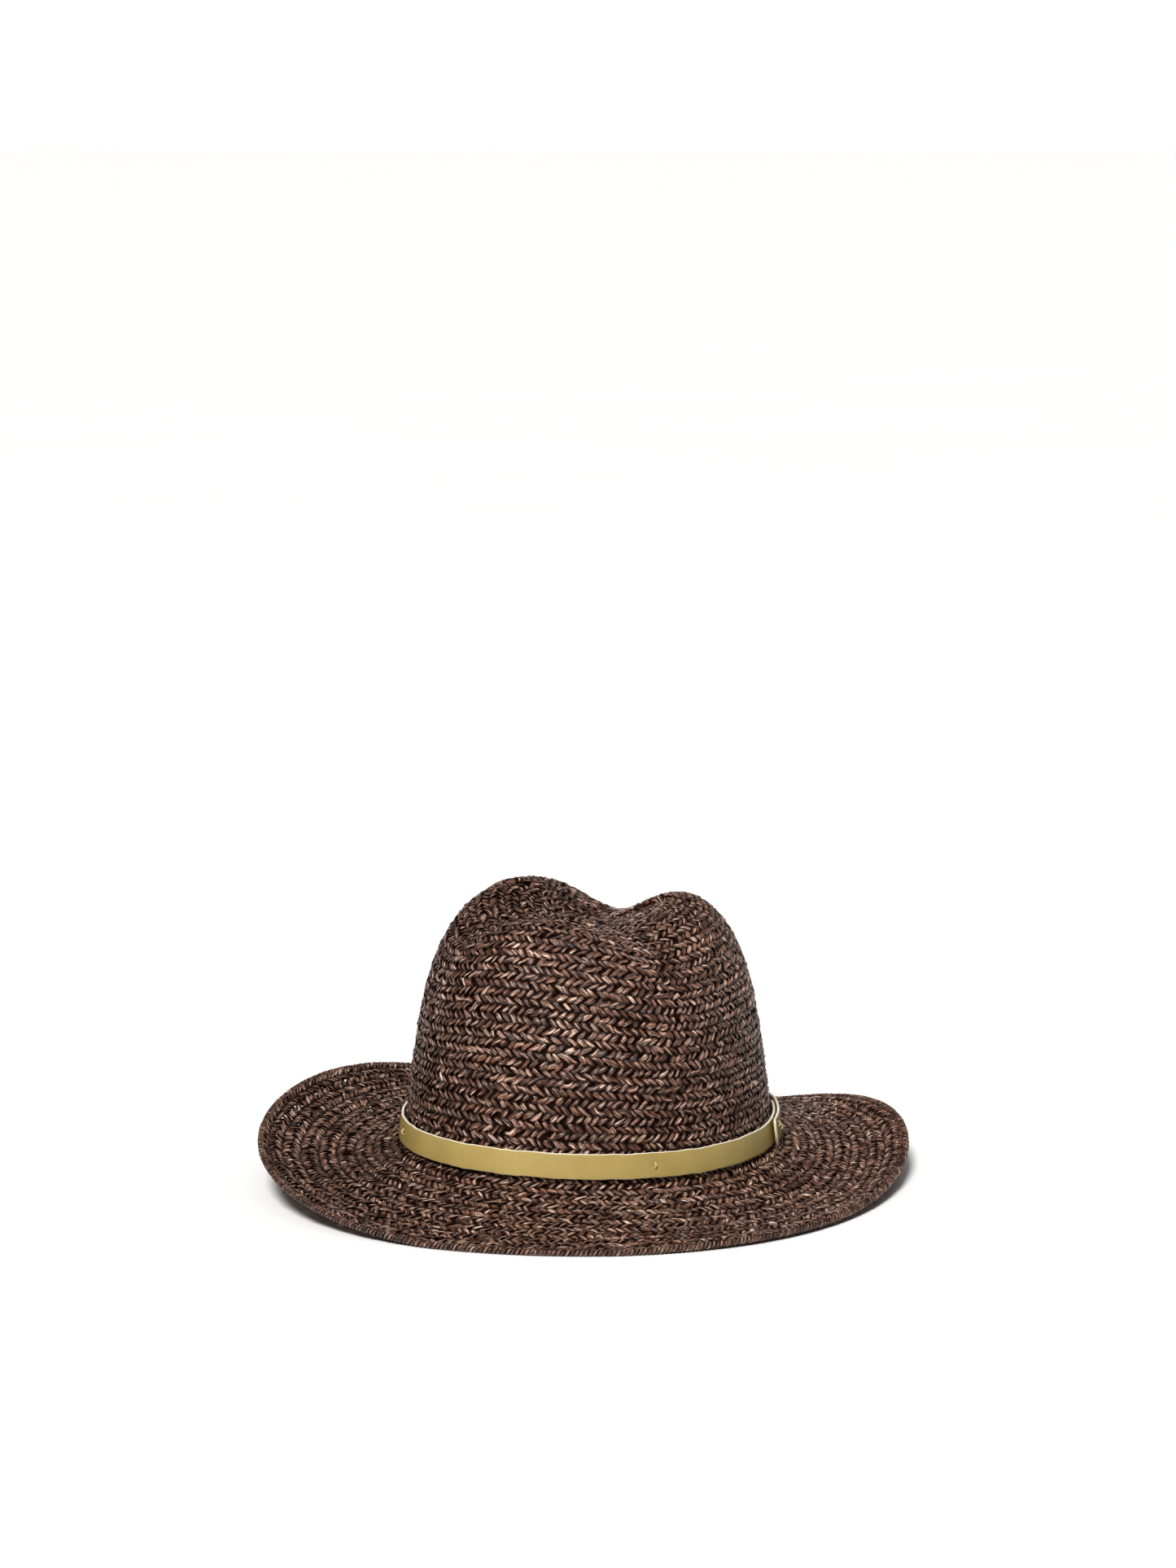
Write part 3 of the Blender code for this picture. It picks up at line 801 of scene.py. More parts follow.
@dataclass(frozen=True)
class StrawFinish:
    """Dyed raffia: glossy ribbons with long fibres, each strand a little lighter or darker."""

    name: str = "dyed_raffia"
    shadow: Colour = (0.010, 0.0036, 0.0024)
    body: Colour = (0.104, 0.038, 0.020)
    warm: Colour = (0.305, 0.140, 0.086)
    pale: Colour = (0.860, 0.650, 0.520)
    smoothest: float = 0.18
    roughest: float = 0.36
    relief: float = 0.0008
    blotch_size: float = 38.0
    tone_share: float = 0.26
    streak_share: float = 0.72
    blotch_share: float = 0.12
    # Spans of the exposed value that paint light and shade: a highlight on the crest with shade below it,
    # colour clear of painted shade, roughness in low places, and the glossy shader's share over its darker
    # copy.
    painted_ridge_light: tuple[float, float, float, float] = (-0.12, 0.10, 0.70, 1.0)
    clear: tuple[float, float, float, float] = (0.03, 1.0, 0.54, 0.88)
    dull: tuple[float, float, float, float] = (0.45, 0.0, 0.45, 0.85)
    gloss_over_painted_shade: tuple[float, float, float, float] = (0.0, 1.0, 0.50, 0.80)
    stops: tuple[float, float, float, float] = (0.12, 0.42, 0.66, 0.93)

    def material(self, effects: SharedEffects) -> bpy.types.Material:
        """Build the material, which reads the strand's UV map and its tone and exposed attributes.

        Four spans of how exposed a point is, as Graph.span says, paint light and shade: a painted highlight
        along the ribbon's crest and painted shade below it; colour pulled to the shadow colour where the
        ribbon lies low or under, which is painted shade; rougher low places; and the share of the glossy
        shader over a darker copy without reflection, which paints shade into the low places and gaps.

        Args:
            effects: The shared node groups.

        Returns:
            The material.
        """
        made, graph, shader = start_material(self.name)
        tone, exposed = graph.attribute("tone"), graph.attribute("exposed")
        fibre = effects.place(graph, effects.fibres, {"Strand": graph.strand(), "Shift": tone})
        blotch = effects.place(graph, effects.blotches, {"Place": graph.place(), "Size": self.blotch_size})
        streak = fibre.outputs["Streak"]
        value = graph.total(graph.times(tone, self.tone_share), graph.times(streak, self.streak_share))
        value = graph.total(value, graph.times(blotch.outputs["Blotch"], self.blotch_share))
        # Painted light: lighter on the ribbon's exposed crest and darker below it, for how the light falls on
        # it.
        value = graph.total(value, graph.span(exposed, *self.painted_ridge_light))
        colours = (self.shadow, self.body, self.warm, self.pale)
        colour = graph.ramp(value, tuple(zip(self.stops, colours)))
        # Painted shade: the colour goes to the shadow colour where the ribbon lies low or dives under, and
        # along dark splits between fibres.
        split = graph.span(fibre.outputs["Split"], 0.35, 1.0)
        colour = graph.mix(graph.times(split, graph.span(exposed, *self.clear)), self.shadow, colour)
        bump = graph.node("ShaderNodeBump", {"Height": streak, "Strength": 0.9, "Distance": self.relief})
        sheen = graph.span(streak, self.roughest, self.smoothest)
        rough = graph.total(sheen, graph.span(exposed, *self.dull), clamp=True)
        connect(graph, shader, colour=colour, roughness=rough, normal=bump.outputs[0])
        shader.inputs["Specular IOR Level"].default_value = 0.4
        shader.inputs["Coat Weight"].default_value = 0.18
        shader.inputs["Coat Roughness"].default_value = 0.13
        # Painted shade: a darker copy of the straw without any reflection, shown where the ribbon lies low or
        # under.
        painted_shade_shader = graph.node("ShaderNodeBsdfPrincipled", {"Roughness": 0.95, "Specular IOR Level": 0.0})
        graph.tree.links.new(graph.mix(0.35, self.shadow, colour), painted_shade_shader.inputs["Base Color"])
        layers = {0: graph.span(exposed, *self.gloss_over_painted_shade), 1: painted_shade_shader.outputs[0], 2: shader.outputs[0]}
        both = graph.node("ShaderNodeMixShader", layers)
        graph.tree.links.new(both.outputs[0], made.node_tree.nodes["Material Output"].inputs["Surface"])
        return made


@dataclass(frozen=True)
class LeatherFinish:
    """Smooth dyed leather with a fine grain, and a pale raw edge where the strap was cut."""

    name: str = "gold_leather"
    face: Colour = (0.42, 0.310, 0.094)
    deep: Colour = (0.30, 0.205, 0.050)
    edge: Colour = (0.80, 0.74, 0.60)
    gloss: float = 0.42

    def material(self, effects: SharedEffects) -> bpy.types.Material:
        """Build the material, which reads Object coordinates and the strap's raw attribute.

        Args:
            effects: The shared node groups.

        Returns:
            The material.
        """
        made, graph, shader = start_material(self.name)
        place = graph.place()
        raw = graph.attribute("raw")
        blotch = effects.place(graph, effects.blotches, {"Place": place, "Size": 55.0}).outputs["Blotch"]
        pores = graph.node("ShaderNodeTexVoronoi", {"Vector": place, "Scale": 1500.0})
        grain = graph.node("ShaderNodeTexNoise", {"Vector": place, "Scale": 900.0, "Detail": 3.0})
        colour = graph.mix(graph.span(blotch, 0.0, 0.45), self.face, self.deep)
        colour = graph.mix(graph.span(grain.outputs[0], 0.18, 0.0, 0.35, 0.65), colour, self.deep)
        colour = graph.mix(raw, colour, self.edge)
        height = graph.total(graph.times(pores.outputs["Distance"], 0.6), grain.outputs[0])
        bump = graph.node("ShaderNodeBump", {"Height": height, "Strength": 0.22, "Distance": 0.0002})
        rough = graph.span(grain.outputs[0], self.gloss - 0.08, self.gloss + 0.12)
        rough = graph.total(rough, graph.times(raw, 0.3), clamp=True)
        connect(graph, shader, colour=colour, roughness=rough, normal=bump.outputs[0])
        return made


@dataclass(frozen=True)
class ClothFinish:
    """Woven band: cords across its length crossed by fine threads."""

    name: str
    light: Colour
    dark: Colour
    ribs: float = 11.0
    threads: float = 60.0

    def material(self, effects: SharedEffects) -> bpy.types.Material:
        """Build the material, which reads the piece's own UV map and Object coordinates.

        Args:
            effects: The shared node groups.

        Returns:
            The material.
        """
        made, graph, shader = start_material(self.name)
        place = graph.place()
        parts = graph.node("ShaderNodeSeparateXYZ", {0: graph.strand()})
        rib = graph.math("SINE", graph.times(parts.outputs[0], self.ribs * TURN), 0.0)
        thread = graph.math("SINE", graph.times(parts.outputs[1], self.threads * TURN), 0.0)
        weave = graph.total(graph.times(rib, 0.36), graph.times(thread, 0.14))
        weave = graph.total(weave, 0.5, clamp=True)
        blotch = effects.place(graph, effects.blotches, {"Place": place, "Size": 120.0}).outputs["Blotch"]
        colour = graph.mix(weave, self.dark, self.light)
        colour = graph.mix(graph.times(blotch, 0.25), colour, self.dark)
        bump = graph.node("ShaderNodeBump", {"Height": weave, "Strength": 0.5, "Distance": 0.0003})
        connect(graph, shader, colour=colour, roughness=graph.span(weave, 0.9, 0.7), normal=bump.outputs[0])
        return made


@dataclass(frozen=True)
class ThreadFinish:
    """Waxed thread: fibres twisted round its length."""

    name: str
    light: Colour
    dark: Colour

    def material(self, effects: SharedEffects) -> bpy.types.Material:
        """Build the material, which reads the thread's UV map.

        Args:
            effects: The shared node groups.

        Returns:
            The material.
        """
        made, graph, shader = start_material(self.name)
        twist = {"Strand": graph.strand(), "Along": 30.0, "Across": 8.0}
        streak = effects.place(graph, effects.fibres, twist).outputs["Streak"]
        colour = graph.mix(streak, self.dark, self.light)
        bump = graph.node("ShaderNodeBump", {"Height": streak, "Strength": 0.4, "Distance": 0.0001})
        connect(graph, shader, colour=colour, roughness=graph.span(streak, 0.6, 0.45), normal=bump.outputs[0])
        return made


@dataclass(frozen=True)
class SteelFinish:
    """Drawn steel wire with fine scratches along it."""

    name: str = "drawn_steel"
    light: Colour = (0.62, 0.62, 0.64)
    dark: Colour = (0.34, 0.34, 0.36)

    def material(self, effects: SharedEffects) -> bpy.types.Material:
        """Build the material, which reads Object coordinates.

        Args:
            effects: The shared node groups.

        Returns:
            The material.
        """
        made, graph, shader = start_material(self.name)
        place = graph.place()
        blotch = effects.place(graph, effects.blotches, {"Place": place, "Size": 400.0}).outputs["Blotch"]
        shader.inputs["Metallic"].default_value = 1.0
        connect(graph, shader, colour=graph.mix(blotch, self.dark, self.light),
                roughness=graph.span(blotch, 0.25, 0.45))
        return made


def dress(piece: bpy.types.Object, material: bpy.types.Material, body: str, slot: str, *nodes: str) -> None:
    """Give a piece its material and body, and let it stand for its design nodes.

    Args:
        piece: The finished piece.
        material: Its material.
        body: Body that it moves with.
        slot: Not used.
        nodes: Design nodes that it stands for.
    """
    piece.data.materials.clear()
    piece.data.materials.append(material)
    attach(piece, body)
    if nodes:
        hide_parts(*nodes)
    LOG.info("%s: %d faces on %s", piece.name, len(piece.data.polygons), body)


# Straw -------------------------------------------------------------------------------------------------


@dataclass(frozen=True)
class Unevenness:
    """Slow seeded wave along a ribbon: seed of the first ribbon's, length of a swell in metres, and size."""

    seed: int
    spacing: float
    size: float

    def along(self, number: int, length: np.ndarray) -> np.ndarray:
        """Wave of the ribbon with the given number at each length."""
        return self.size * Wander(self.seed + number, self.spacing).at(length)


@dataclass(frozen=True)
class Plait:
    """Flat plait of raffia ribbons: each runs from edge to middle on top and on to the other edge below."""

    strands: int = 5
    advance: float = 0.0185
    swing: float = 0.450
    weave: float = 0.00066
    half_width: float = 0.174
    half_thickness: float = 0.00056
    shingle: float = 0.20
    steps: int = 15
    sides: int = 6
    depth: float = -0.0011
    wall_fullness: float = 0.0004
    underneath: float = 0.50
    corner: float = 0.93
    exposure: float = 1.7
    breadth: tuple[float, float] = (0.0070, 0.0105)
    width_limits: tuple[float, float] = (0.30, 1.5)
    tone: tuple[float, float] = (0.45, 0.14)
    slip: Unevenness = Unevenness(100, 0.012, 0.30)
    drift: Unevenness = Unevenness(200, 0.0075, 0.042)
    heave: Unevenness = Unevenness(300, 0.0065, 0.00024)
    swell: Unevenness = Unevenness(400, 0.0085, 0.20)
    bulk: Unevenness = Unevenness(500, 0.0070, 0.20)
    roll: Unevenness = Unevenness(600, 0.0080, 0.32)
    tone_seed: int = 700
    apart: float = 3.1


@dataclass(frozen=True)
class Stretch:
    """Turns of the braid that make one piece, and the design nodes that it stands for."""

    name: str
    start: float
    end: float
    nodes: tuple[str, ...]


@dataclass
class StrawBody:
    """The hat's straw: one plait, sewn in a spiral from the middle of the top to the brim's edge."""

    block: HatBlock
    plait: Plait = Plait()
    crown_courses: int = 24
    brim_courses: int = 8
    fillet: float = 0.0022
    seam_angle: float = math.pi / 2
    narrowest: float = 0.05
    first_turn: tuple[float, float] = (0.85, 1.15)
    overreach: float = 0.3
    side_starts: float = 8.0
    side_fades: tuple[float, float] = (5.0, 1.5)
    samples: int = 24000

    def stretches(self) -> tuple[Stretch, ...]:
        """Split the plait into pieces at whole turns.

        Returns:
            The pieces in order.
        """
        crown, total = self.crown_courses, self.crown_courses + self.brim_courses
        return (
            Stretch("crown_tip_braid", 0.0, 11.0, ("crown_tip",)),
            Stretch("crown_side_upper_braid", 11.0, 18.0, ("crown_side_upper",)),
            Stretch("crown_side_lower_braid", 18.0, crown, ("crown_side_lower",)),
            Stretch("brim_inner_braid", crown, crown + 4.0, ("brim_inner",)),
            Stretch("brim_outer_braid", crown + 4.0, total - self.narrowest, ("brim_outer",)),
        )

    def winding(self, surface: CourseSurface, turns: np.ndarray) -> tuple[np.ndarray, np.ndarray, np.ndarray]:
        """Angle, course and width of the plait after each number of turns.

        The plait's inner edge moves out by one course a turn, and its outer edge too until it meets the
        brim's edge, so it narrows to nothing over its last turn. Its first turn is spread wide to close the
        middle of the crown's top.

        Args:
            surface: Straw surface that the plait is sewn to.
            turns: Turns wound.

        Returns:
            Angle, course of the plait's middle, and width in courses.
        """
        start, end = self.first_turn
        inner = turns * eased(turns, start, end)
        inner = inner - self.overreach * np.clip(1.0 - 2.0 * turns, 0.0, 1.0) ** 2
        outer = np.minimum(turns + 1.0, surface.courses)
        return turns * TURN + self.seam_angle, (inner + outer) / 2.0, outer - inner

    def lengths(self, surface: CourseSurface) -> tuple[np.ndarray, np.ndarray]:
        """Measure the plait along its spiral.

        Args:
            surface: Straw surface that the plait is sewn to.

        Returns:
            Finely sampled turns, and the length of plait laid by then.
        """
        turns = np.linspace(0.0, surface.courses - self.narrowest, self.samples)
        angle, course, _ = self.winding(surface, turns)
        points, _ = surface.look_up(angle, course)
        step = np.linalg.norm(np.diff(points, axis=0), axis=-1)
        return turns, np.concatenate([[0.0], np.cumsum(step)])

    def strand(self, surface: CourseSurface, number: int, length: np.ndarray, turns: np.ndarray) -> Patch:
        """One ribbon of the plait over a stretch of its length.

        Across the plait the ribbon follows a triangle wave with rounded corners, and its height follows a
        sine of twice the phase, so that it is on top from each edge to the middle. Slow seeded waves make
        its phase, place, height and width uneven.

        Args:
            surface: Straw surface that the plait is sewn to.
            number: Which of the plait's ribbons.
            length: Length of plait at each row.
            turns: Turns wound at each row.

        Returns:
            The ribbon's patch. Its values are its tone and how exposed each point is, for painted light and
            shade.
        """
        plait = self.plait
        slip = plait.slip.along(number, length)
        phase = TURN * (length / plait.advance + number / plait.strands) + slip
        across = -plait.swing * np.arcsin(plait.corner * np.cos(phase)) / math.asin(plait.corner)
        across = across + plait.drift.along(number, length)
        bulge = np.sin(2.0 * phase)
        wall = np.clip((turns - self.side_starts) / self.side_fades[0], 0.0, 1.0)
        wall = wall * np.clip((self.crown_courses - turns) / self.side_fades[1], 0.0, 1.0)
        lift = plait.depth + plait.wall_fullness * wall + plait.weave * bulge
        lift = lift + plait.heave.along(number, length)
        angle, course, width = self.winding(surface, turns)
        path, normal = surface.look_up(angle, course + across * width)
        above, below = surface.look_up(angle, course - 0.5)[0], surface.look_up(angle, course + 0.5)[0]
        breadth = np.clip(np.linalg.norm(below - above, axis=-1), *plait.breadth)
        path = path + lift[:, None] * normal
        uneven = 1.0 + plait.swell.along(number, length)
        narrow = np.clip(width, *plait.width_limits)
        spread = 0.86 + 0.18 * bulge**2 + plait.underneath * np.clip(-bulge, 0.0, 1.0)
        half_width = plait.half_width * breadth * uneven * narrow * spread
        half_thickness = plait.half_thickness * (1.0 + plait.bulk.along(number, length))
        turn = plait.shingle * np.sign(-np.cos(phase)) * np.sign(bulge) * bulge**2
        turn = turn + plait.roll.along(number, length)
        section = lens(plait.sides, half_width, half_thickness)
        random = np.random.default_rng(plait.tone_seed + number)
        lobes = int(length[-1] / plait.advance * 2.0) + 8
        tones = np.clip(random.normal(*plait.tone, lobes), 0.0, 1.0)
        lobe = np.floor(phase / math.pi + 0.5).astype(int)
        tone = tones[np.clip(lobe, 0, lobes - 1)]
        points = self.block.pressed(tube(path, normal, section, turn))
        side = section[..., 1] / half_thickness[:, None]
        # Exposed is 1 on a ribbon's upper face where it lies on top and falls to 0 where it dives under; the
        # material paints light and shade from it.
        reach = np.clip(plait.exposure * bulge, -1.0, 1.0)
        exposed = np.clip(0.5 + 0.5 * reach[:, None] * side, 0.0, 1.0)
        return Patch(points, length + plait.apart * number, {"tone": tone[:, None], "exposed": exposed})

    def build(self, finish: bpy.types.Material) -> None:
        """Make and dress every stretch of the plait.

        Args:
            finish: Material of the straw.
        """
        surface = CourseSurface(self.block, self.crown_courses, self.brim_courses, self.fillet)
        turns, laid = self.lengths(surface)
        step = self.plait.advance / self.plait.steps
        LOG.info("plait: %.2f m long", laid[-1])
        for stretch in self.stretches():
            start, end = np.interp([stretch.start, stretch.end], turns, laid)
            rows = np.arange(math.floor(start / step), math.floor(end / step) + 1)
            length = rows * step
            wound = np.interp(length, laid, turns)
            patches = [self.strand(surface, k, length, wound) for k in range(self.plait.strands)]
            piece = mesh_from_patches(stretch.name, patches)
            dress(piece, finish, "hat", "straw", *stretch.nodes)


@dataclass
class EdgeCord:
    """Twisted cord of two plies that finishes the brim."""

    block: HatBlock
    plies: int = 2
    twists: int = 240
    rows: int = 1920
    ply_offset: float = 0.00080
    ply_half_width: float = 0.00086
    ply_half_thickness: float = 0.00082
    ply_sides: int = 6
    length: float = 0.98

    def ply(self, number: int) -> Patch:
        """Twist one ply: a helix round the edge's middle line, closed after a whole number of twists.

        Whole numbers of sine waves round the hat make its twist, thickness and tone uneven.

        Args:
            number: Which of the plies.

        Returns:
            The ply's patch.
        """
        share = np.arange(self.rows) / self.rows
        angle = share * TURN
        middle = self.block.edge(angle)
        outward = self.block.edge_outward(angle)
        phase = TURN * (self.twists * share + number / self.plies) + 0.25 * np.sin(23 * angle + number)
        radial = outward * np.cos(phase)[:, None] + np.array([0.0, 0.0, 1.0]) * np.sin(phase)[:, None]
        path = middle + radial * self.ply_offset
        uneven = 1.0 + 0.10 * np.sin(31 * angle + 2 * number) + 0.07 * np.sin(57 * angle + number)
        section = lens(self.ply_sides, self.ply_half_width * uneven, self.ply_half_thickness * uneven)
        points = self.block.pressed(tube(path, radial, section, np.zeros(self.rows), closed=True))
        tone = 0.20 + 0.30 * np.sin(41 * angle + 2.1 * number) * np.sin(17 * angle)
        # Exposed rises from the ply's underside to its top; the material paints shade below and a highlight
        # on top from it.
        exposed = 0.5 + 0.5 * section[..., 1] / self.ply_half_thickness
        values = {"tone": tone[:, None], "exposed": np.clip(exposed, 0.0, 1.0)}
        return Patch(points, share * self.length, values, closed_rows=True)

    def build(self, finish: bpy.types.Material) -> None:
        """Make and dress the cord.

        Args:
            finish: Material of the straw.
        """
        piece = mesh_from_patches("brim_edge_twisted_cord", [self.ply(k) for k in range(self.plies)])
        dress(piece, finish, "hat", "straw_cord", "brim_edge_cord")


# Leather and cloth that follow the crown's wall --------------------------------------------------------


def rounded_strip(height: float, thickness: float, corner: float, crown: float, face: int) -> np.ndarray:
    """Outline of a strap's section, from the bottom of its outer face up and round.

    The outer face bulges by a parabola, and each corner is a quarter of a circle.

    Args:
        height: Height of the strap.
        thickness: Its thickness at its edges.
        corner: Radius of its corners.
        crown: How far the outer face bulges.
        face: Points on the outer face.

    Returns:
        Points as height above the strap's foot and distance outward from its back.
    """
    share = np.linspace(-1.0, 1.0, face)
    outer = np.stack([
        height / 2 + share * (height / 2 - corner), thickness + crown * (1.0 - share**2)
    ], -1)
    bend = np.linspace(0.0, math.pi / 2, 4)[1:]
    near, far = corner - corner * np.cos(bend), corner - corner * np.sin(bend)
    top_out = np.stack([height - far, thickness - near], -1)
    top_in = np.stack([height - near, far], -1)
    back = np.stack([np.linspace(height - corner, corner, 4)[1:], np.zeros(3)], -1)
    foot_in = np.stack([far, near], -1)
    foot_out = np.stack([near, thickness - far], -1)
    return np.concatenate([outer, top_out, top_in, back, foot_in, foot_out[:-1]])


@dataclass(frozen=True)
class Dimple:
    """Place where a tack pulls the leather in: angle in degrees and share of the strap's height."""

    name: str
    degrees: float
    height_share: float
    layers: int


@dataclass
class Hatband:
    """Leather strap once round the crown and lapped over its own start at the wearer's left."""

    block: HatBlock
    height: float = 0.0110
    thickness: float = 0.0016
    standoff: float = 0.0012
    lift: float = 0.0008
    lift_front: float = 0.0014
    start: float = 25.0
    ramp: float = 12.0
    hinge: float = 6.0
    free_end: float = 1.5
    flare: float = 0.0012
    clearance: float = 0.00035
    leather: float = 0.00115
    bulge: float = 0.00014
    lap_from: float = 40.0
    step: float = 0.5
    corner: float = 0.00038
    dimple_depth: float = 0.00042
    dimple_spread: tuple[float, float] = (0.0021, 0.0017)
    dimple_radius: float = 0.09
    raw_reach: float = 0.00030
    raw_fade: float = 0.00012
    raw_foot: float = 0.35
    tack_height: float = 0.0024
    tack_rows: int = 15
    tack_thread: float = 0.00030
    dimples: tuple[Dimple, ...] = (
        Dimple("tack_front_left", -52.0, 0.50, 1),
        Dimple("tack_right", -148.0, 0.50, 1),
        Dimple("tack_back", 100.0, 0.50, 1),
        Dimple("lap_tack_upper", 8.5, 0.64, 2),
        Dimple("lap_tack_lower", 13.5, 0.30, 2),
    )

    def foot(self, angle: np.ndarray) -> np.ndarray:
        """Height of the strap's lower edge above the headline, higher in front and behind."""
        return self.lift + self.lift_front * np.sin(angle) ** 2

    def outward(self, sweep: np.ndarray) -> np.ndarray:
        """Distance of the strap's back from the crown: it climbs over its own start and flares at its end.

        Args:
            sweep: Degrees from the hidden start, towards the front.

        Returns:
            Distances in metres.
        """
        climb = eased(sweep, 360.0 - self.ramp - 1.0, 360.0 - 1.0)
        beyond = np.clip((sweep - 360.0 - self.start + self.hinge) / (self.hinge - self.free_end), 0.0, 1.0)
        return self.standoff + (self.thickness + self.clearance) * climb + self.flare * beyond**1.5

    def strip(self, sweep: np.ndarray) -> Patch:
        """A stretch of strap: its section carried along the wall, with dimples at its tacks.

        Args:
            sweep: Degrees from the hidden start, towards the front.

        Returns:
            The patch, with a value that marks the raw cut edges.
        """
        outline = rounded_strip(self.height, self.leather, self.corner, self.bulge, 15)
        angle = np.radians(self.start - sweep)[::-1]
        back = self.outward(sweep)[::-1] + self.thickness - self.leather - self.bulge
        metres = np.radians(sweep)[::-1] * (self.block.head_half_width + self.block.head_half_length) / 2
        height = self.foot(angle)[:, None] + outline[None, :, 0]
        wave = 0.00014 * Wander(31, 0.030).at(metres) + 0.00008 * Wander(32, 0.011).at(metres)
        height = height + wave[:, None]
        out = back[:, None] + outline[None, :, 1]
        lap = self.start - sweep[::-1]
        for dimple in self.dimples:
            over = (dimple.layers == 2) == (sweep[::-1] > 180.0)
            far_degrees = (lap - dimple.degrees + 180.0) % 360.0 - 180.0
            along = np.radians(far_degrees) * self.dimple_radius
            rise = outline[:, 0] - dimple.height_share * self.height
            across, upward = self.dimple_spread
            away = (along[:, None] / across) ** 2 + (rise[None, :] / upward) ** 2
            allowed = over if dimple.layers == 2 else np.ones_like(over)
            face = (outline[:, 1] > self.leather * 0.9)[None, :]
            out = out - self.dimple_depth * np.exp(-away) * face * allowed[:, None]
        points = self.block.wall(angle[:, None], height, out)
        top = np.clip((outline[:, 0] - self.height + self.raw_reach) / self.raw_fade, 0.0, 1.0)
        foot = np.clip((self.raw_reach - outline[:, 0]) / self.raw_fade, 0.0, 1.0)
        return Patch(points, metres, {"raw": np.maximum(top, self.raw_foot * foot)[None, :]})

    def hinge_points(self) -> tuple[np.ndarray, np.ndarray]:
        """Where the lap starts and ends its bend as its free end lifts.

        Returns:
            The two places.
        """
        angle = np.radians(np.array([self.hinge + 0.8, self.hinge - 1.4]))
        out = np.full(2, self.standoff + 2 * self.thickness)
        both = self.block.wall(angle, self.foot(angle) + self.height / 2, out)
        return both[0], both[1]

    def build(self, finish: bpy.types.Material) -> None:
        """Make and dress the strap, and make its lap with the same leather.

        Args:
            finish: Material of the leather.
        """
        switch = 360.0 + self.start - self.lap_from
        main = self.strip(np.arange(0.0, switch + 1e-6, self.step))
        dress(mesh_from_patches("hatband_strap_leather", [main]), finish, "hat", "leather", "hatband_strap")
        end = 360.0 + self.start - self.free_end
        lap = self.strip(np.linspace(switch, end, int((end - switch) / self.step) + 1))
        piece = mesh_from_patches("strap_end_leather", [lap])
        piece.data.materials.append(finish)
        start, stop = self.hinge_points()
        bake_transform(piece)
        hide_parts("strap_end")
        LOG.info("%s: %d faces, bends between hat and strap_end", piece.name, len(piece.data.polygons))

    def tack(self, dimple: Dimple, finish: bpy.types.Material) -> None:
        """Make and dress a thread tack: a short loop of twisted thread that enters the leather at both ends.

        Args:
            dimple: Where it pulls the leather in.
            finish: Material of the thread.
        """
        share = np.linspace(0.0, 1.0, self.tack_rows)
        angle = np.radians(dimple.degrees) + 0.0035 * np.sin(share * math.pi)
        middle = self.foot(angle) + self.height * dimple.height_share
        height = middle + (share - 0.5) * self.tack_height
        layers = dimple.layers - 1
        out = self.standoff + self.thickness + (self.thickness + self.clearance) * layers
        rise = out - 0.00035 + 0.00095 * np.sin(share * math.pi) ** 0.6
        path = self.block.wall(angle, height, rise)
        normal = unit(self.block.wall(angle, height, rise + 0.001) - path)
        side = unit(np.cross(np.gradient(path, axis=0), normal))
        thread = np.full(self.tack_rows, self.tack_thread)
        patches = []
        for ply in range(2):
            phase = share * 9.0 + ply * math.pi
            twisted = path + 0.00021 * (side * np.cos(phase)[:, None] + normal * np.sin(phase)[:, None])
            points = tube(twisted, normal, lens(8, thread, thread), np.zeros(self.tack_rows))
            patches.append(Patch(points, share * 0.003, {}))
        piece = mesh_from_patches(dimple.name + "_thread", patches)
        dress(piece, finish, "hat", "tack_thread", dimple.name)

    def build_tacks(self, finish: bpy.types.Material) -> None:
        """Make and dress every tack."""
        for dimple in self.dimples:
            self.tack(dimple, finish)


LABELS = {
    "seam_tape_cloth": ("hat", "tape", "sweatband_seam_tape"),
    "blank_label_cloth": ("hat", "label", "blank_label"),
    "size_tab_cloth": ("size_tab", "tab", "size_tab"),
}


